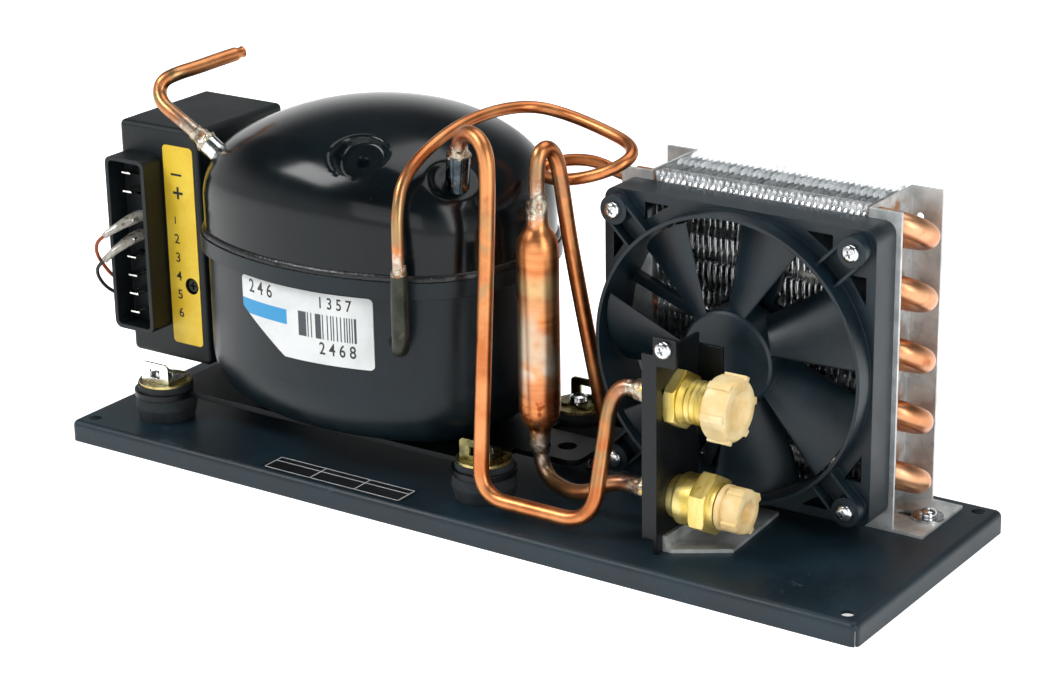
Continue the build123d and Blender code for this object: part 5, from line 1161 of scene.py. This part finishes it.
class IvoryCaps(bpy.types.Operator):
    """Builds the ribbed cap and plug of the couplings."""

    bl_idname = "condensing_unit.ivory_caps"
    bl_label = "Cap and plug"

    def execute(self, context):
        ivory = ivory_polyethylene()
        cap = spun([(8.9, 2.8), (12.0, 2.8), (12.5, 3.3), (12.7, 4.6), (12.7, 10.6), (12.2, 12.2),
                    (11.2, 13.2), (8.4, 13.5), (7.6, 13.1), (5.6, 10.6), (0, 10.4), (0, 5.0), (8.9, 5.0),
                    (8.9, 2.8)], 96)
        self.facet(cap, 12.15, 11.0)
        self.rib(cap, (11.6, -1.5, 3.2), (13.6, 1.5, 13.0), range(30, 390, 60))
        bm = bmesh.new()
        join(bm, cap, (113.5, COUPLING_Y, UPPER_Z), (1, 0, 0))
        made(bm, "coupling_cap", ivory, body="cap", replaced=("upper_cap",), angle=35)
        plug = spun([(0, -6), (6.0, -6), (6.0, 0), (9.1, 0), (9.1, 1.9), (8.7, 2.2), (8.2, 2.3), (8.2, 3.4),
                     (8.9, 3.7), (8.9, 9.2), (8.3, 10.1), (7.4, 10.4), (4.9, 10.4), (4.4, 10.1), (3.2, 6.6),
                     (0, 6.4)], 80)
        self.rib(plug, (7.6, -1.7, 3.4), (10.1, 1.7, 10.3), range(20, 380, 90))
        bm = bmesh.new()
        join(bm, plug, (120.6, COUPLING_Y, LOWER_Z), (1, 0, 0))
        made(bm, "coupling_plug", ivory, body="plug", replaced=("lower_plug",), angle=35)
        return {"FINISHED"}

    @staticmethod
    def rib(bm, low, high, turns):
        """Puts a rib on a turned piece at each of the turns in degrees."""
        for turn in turns:
            join(bm, block(low, high, 0.45), turn=turn)

    @staticmethod
    def facet(bm, flat, above):
        """Presses six soft flats into the outside of a turned piece."""
        for vert in bm.verts:
            radius = vert.co.xy.length
            if radius > above:
                angle = math.atan2(vert.co.y, vert.co.x)
                off = (angle + math.pi / 6) % (math.pi / 3) - math.pi / 6
                share = min(radius, flat / math.cos(off)) / radius
                vert.co.x *= share
                vert.co.y *= share


class FanLeads(bpy.types.Operator):
    """Builds the terminal blades, the two drooping sleeves and the fan's two leads."""

    bl_idname = "condensing_unit.fan_leads"
    bl_label = "Blades, sleeves and leads"

    def execute(self, context):
        lead("brown_lead", BROWN_LEAD, brown_insulation(), "fan_lead_positive")
        lead("black_lead", BLACK_LEAD, black_insulation(), "fan_lead_negative")
        blades = bmesh.new()
        for z in BLADE_ZS:
            join(blades, blade(z))
        made(blades, "blade_row", tinned_brass(), replaced=("terminal_blades",))
        sleeves = bmesh.new()
        join(sleeves, sleeve(BLADE_ZS[2], BROWN_LEAD[0]))
        join(sleeves, sleeve(BLADE_ZS[3], BLACK_LEAD[0]))
        made(sleeves, "drooping_sleeves", clear_sleeve(), replaced=("spade_connectors",),
             angle=60)
        return {"FINISHED"}


class PrintedFigures(bpy.types.Operator):
    """Lays the plain figures and signs on the two labels."""

    bl_idname = "condensing_unit.printed_figures"
    bl_label = "Printed figures"

    def execute(self, context):
        bm = bmesh.new()
        face = UNIT_FRONT - 0.36
        marks = [("\u2013", 11.0, -157.0, 117.2), ("+", 11.0, -156.6, 108.0), ("1", 4.6, -159.0, BLADE_ZS[2])]
        marks += [(words, 6.0, -158.6, z) for words, z in zip("23456", BLADE_ZS[3:])]
        for words, size, x, z in marks:
            join(bm, printed(words, size, (x, face, z)))
        for words, size, x, z, wide in (("2 4 6", 8.0, -85.5, 87.4, 0.85), ("1 3 5 7", 6.8, -47.5, 87.2, 0.8),
                                        ("2 4 6 8", 7.4, -46.8, 67.6, 0.8)):
            join(bm, printed(words, size, (x, -50, z), wide, True))
        made(bm, "printed_figures", print_ink(), angle=80)
        return {"FINISHED"}


class TrayLabel(bpy.types.Operator):
    """Lays the black label with its plain white lines on the tray."""

    bl_idname = "condensing_unit.tray_label"
    bl_label = "Tray label"

    def execute(self, context):
        bm = bmesh.new()
        join(bm, block((-88.0, -59.5, TRAY_TOP), (-16.0, -46.5, TRAY_TOP + 0.12)))
        made(bm, "tray_label_film", print_ink())
        lines = bmesh.new()
        top = TRAY_TOP + 0.2
        for y in (-58.9, -51.2, -47.5):
            join(lines, block((-86.8, y, TRAY_TOP + 0.1), (-17.2, y + 0.35, top)))
        for x in (-86.8, -63.0, -40.0, -17.55):
            join(lines, block((x, -58.9, TRAY_TOP + 0.1), (x + 0.35, -47.2, top)))
        made(lines, "tray_label_lines", white_ink())
        return {"FINISHED"}


class StudioStage(bpy.types.Operator):
    """Sets the white floor, the lamps, the world and the camera."""

    bl_idname = "condensing_unit.studio_stage"
    bl_label = "Studio stage"

    def execute(self, context):
        self.floor()
        self.lamps()
        self.world()
        self.camera()
        context.scene.view_settings.view_transform = "Standard"
        return {"FINISHED"}

    def floor(self):
        """A wide floor that shows white to the camera and in gloss, and keeps the object's shadow."""
        bm = bmesh.new()
        bmesh.ops.create_grid(bm, x_segments=1, y_segments=1, size=3000.0)
        piece = object_from(bm, "studio_floor")
        material = bpy.data.materials.new("white_paper_floor")
        material.use_nodes = True
        tree = material.node_tree
        shader = tree.nodes["Principled BSDF"]
        shader.inputs["Base Color"].default_value = (*setting("floor_colour"), 1)
        shader.inputs["Roughness"].default_value = 0.9
        shader.inputs["Specular IOR Level"].default_value = 0.1
        path = add(tree, "LightPath")
        seen = add(tree, "Math", {0: path.outputs["Is Camera Ray"], 1: path.outputs["Is Glossy Ray"]},
                   operation="MAXIMUM").outputs["Value"]
        glow = add(tree, "Emission", {"Color": (1, 1, 1, 1), "Strength": 0.7})
        none = add(tree, "Emission", {"Color": (1, 1, 1, 1), "Strength": 0.0})
        part = add(tree, "MixShader", {0: seen, 1: none.outputs[0], 2: glow.outputs[0]})
        whole = add(tree, "AddShader", {0: shader.outputs[0], 1: part.outputs[0]})
        tree.links.new(whole.outputs[0], tree.nodes["Material Output"].inputs["Surface"])
        piece.data.materials.append(material)

    def lamps(self):
        """A softbox high at the front left, a long strip at the right, a low fill and a panel overhead."""
        power = setting("lamp_power")
        for name, spot, target, size, watts in (
                ("softbox", (-0.75, -0.8, 1.15), (-0.03, 0, 0.08), (0.7, 0.5), power * 2.6),
                ("side_strip", (1.1, -0.35, 0.55), (0.05, 0, 0.07), (0.35, 0.9), power * 1.1),
                ("front_fill", (0.35, -1.5, 0.5), (0, 0, 0.07), (1.2, 0.6), power * 0.6),
                ("top_panel", (0.1, 0.35, 1.3), (0, 0, 0.07), (1.2, 0.8), power * 1.4)):
            lamp = bpy.data.lights.new(name, "AREA")
            lamp.shape = "RECTANGLE"
            lamp.size, lamp.size_y = size
            lamp.energy = watts
            holder = bpy.data.objects.new(name, lamp)
            holder.location = spot
            holder.rotation_euler = (Vector(target) - Vector(spot)).to_track_quat("-Z", "Y").to_euler()
            bpy.context.scene.collection.objects.link(holder)

    def world(self):
        """White where the camera looks; for gloss, white at the horizon and dark overhead."""
        world = bpy.data.worlds.new("studio_world")
        bpy.context.scene.world = world
        world.use_nodes = True
        tree = world.node_tree
        for node in list(tree.nodes):
            tree.nodes.remove(node)
        ray = add(tree, "TexCoord").outputs["Generated"]
        height = add(tree, "SeparateXYZ", {"Vector": ray}).outputs["Z"]
        dark = add(tree, "MapRange", {"Value": height, "From Min": 0.05, "From Max": 0.5, "To Min": 1.0,
                                      "To Max": 0.09}, interpolation_type="SMOOTHSTEP").outputs["Result"]
        path = add(tree, "LightPath")
        plain = add(tree, "Background", {"Color": (1, 1, 1, 1), "Strength": 0.34})
        gloss = add(tree, "Background", {"Color": (1, 1, 1, 1), "Strength": dark})
        white = add(tree, "Background", {"Color": (1, 1, 1, 1), "Strength": 1.0})
        shiny = add(tree, "MixShader", {0: path.outputs["Is Glossy Ray"], 1: plain.outputs[0],
                                        2: gloss.outputs[0]})
        whole = add(tree, "MixShader", {0: path.outputs["Is Camera Ray"], 1: shiny.outputs[0],
                                        2: white.outputs[0]})
        out = add(tree, "OutputWorld")
        tree.links.new(whole.outputs[0], out.inputs["Surface"])

    def camera(self):
        """The photograph's viewpoint: from the right and above, through a moderately long lens."""
        azimuth, elevation, roll = (math.radians(a) for a in CAMERA_TURNS)
        back = Vector((math.sin(azimuth) * math.cos(elevation), -math.cos(azimuth) * math.cos(elevation),
                       math.sin(elevation)))
        right = Vector((math.cos(azimuth), math.sin(azimuth), 0))
        up = back.cross(right)
        tilted_right = right * math.cos(roll) + up * math.sin(roll)
        tilted_up = up * math.cos(roll) - right * math.sin(roll)
        data = bpy.data.cameras.new("photo_camera")
        data.lens = PHOTO_FOCAL / PHOTO_WIDTH * 36
        data.clip_start, data.clip_end = 0.05, 50
        holder = bpy.data.objects.new("photo_camera", data)
        turn = Matrix((tilted_right, tilted_up, back)).transposed().to_4x4()
        place = Vector(CAMERA_TARGET) * MM + back * CAMERA_DISTANCE * MM
        holder.matrix_world = Matrix.Translation(place) @ turn
        bpy.context.scene.collection.objects.link(holder)
        bpy.context.scene.camera = holder


class CondensingUnitPanel(bpy.types.Panel):
    """Lists the pieces in the 3D view's sidebar."""

    bl_idname = "VIEW3D_PT_condensing_unit"
    bl_label = "Condensing unit"
    bl_space_type = "VIEW_3D"
    bl_region_type = "UI"
    bl_category = "Condensing unit"

    def draw(self, context):
        for name in ("shell_segments", "lamp_power", "floor_colour"):
            self.layout.prop(context.scene.condensing_unit, name)
        for operator in OPERATORS:
            self.layout.operator(operator.bl_idname)


OPERATORS = (StudioStage, FanLeads, PaintedSolids, CompressorShell, CondenserFins, CrossScrews, CopperLines,
             BrazedJoints, FilterDrier, IvoryCaps, PrintedFigures, TrayLabel)
CLASSES = (CondensingUnitSettings, *OPERATORS, CondensingUnitPanel)


def register():
    for cls in CLASSES:
        bpy.utils.register_class(cls)
    bpy.types.Scene.condensing_unit = bpy.props.PointerProperty(type=CondensingUnitSettings)


def unregister():
    del bpy.types.Scene.condensing_unit
    for cls in reversed(CLASSES):
        bpy.utils.unregister_class(cls)


def main():
    """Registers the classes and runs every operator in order."""
    register()
    for operator in OPERATORS:
        group, name = operator.bl_idname.split(".")
        getattr(getattr(bpy.ops, group), name)()


if __name__ == "__main__":
    main()
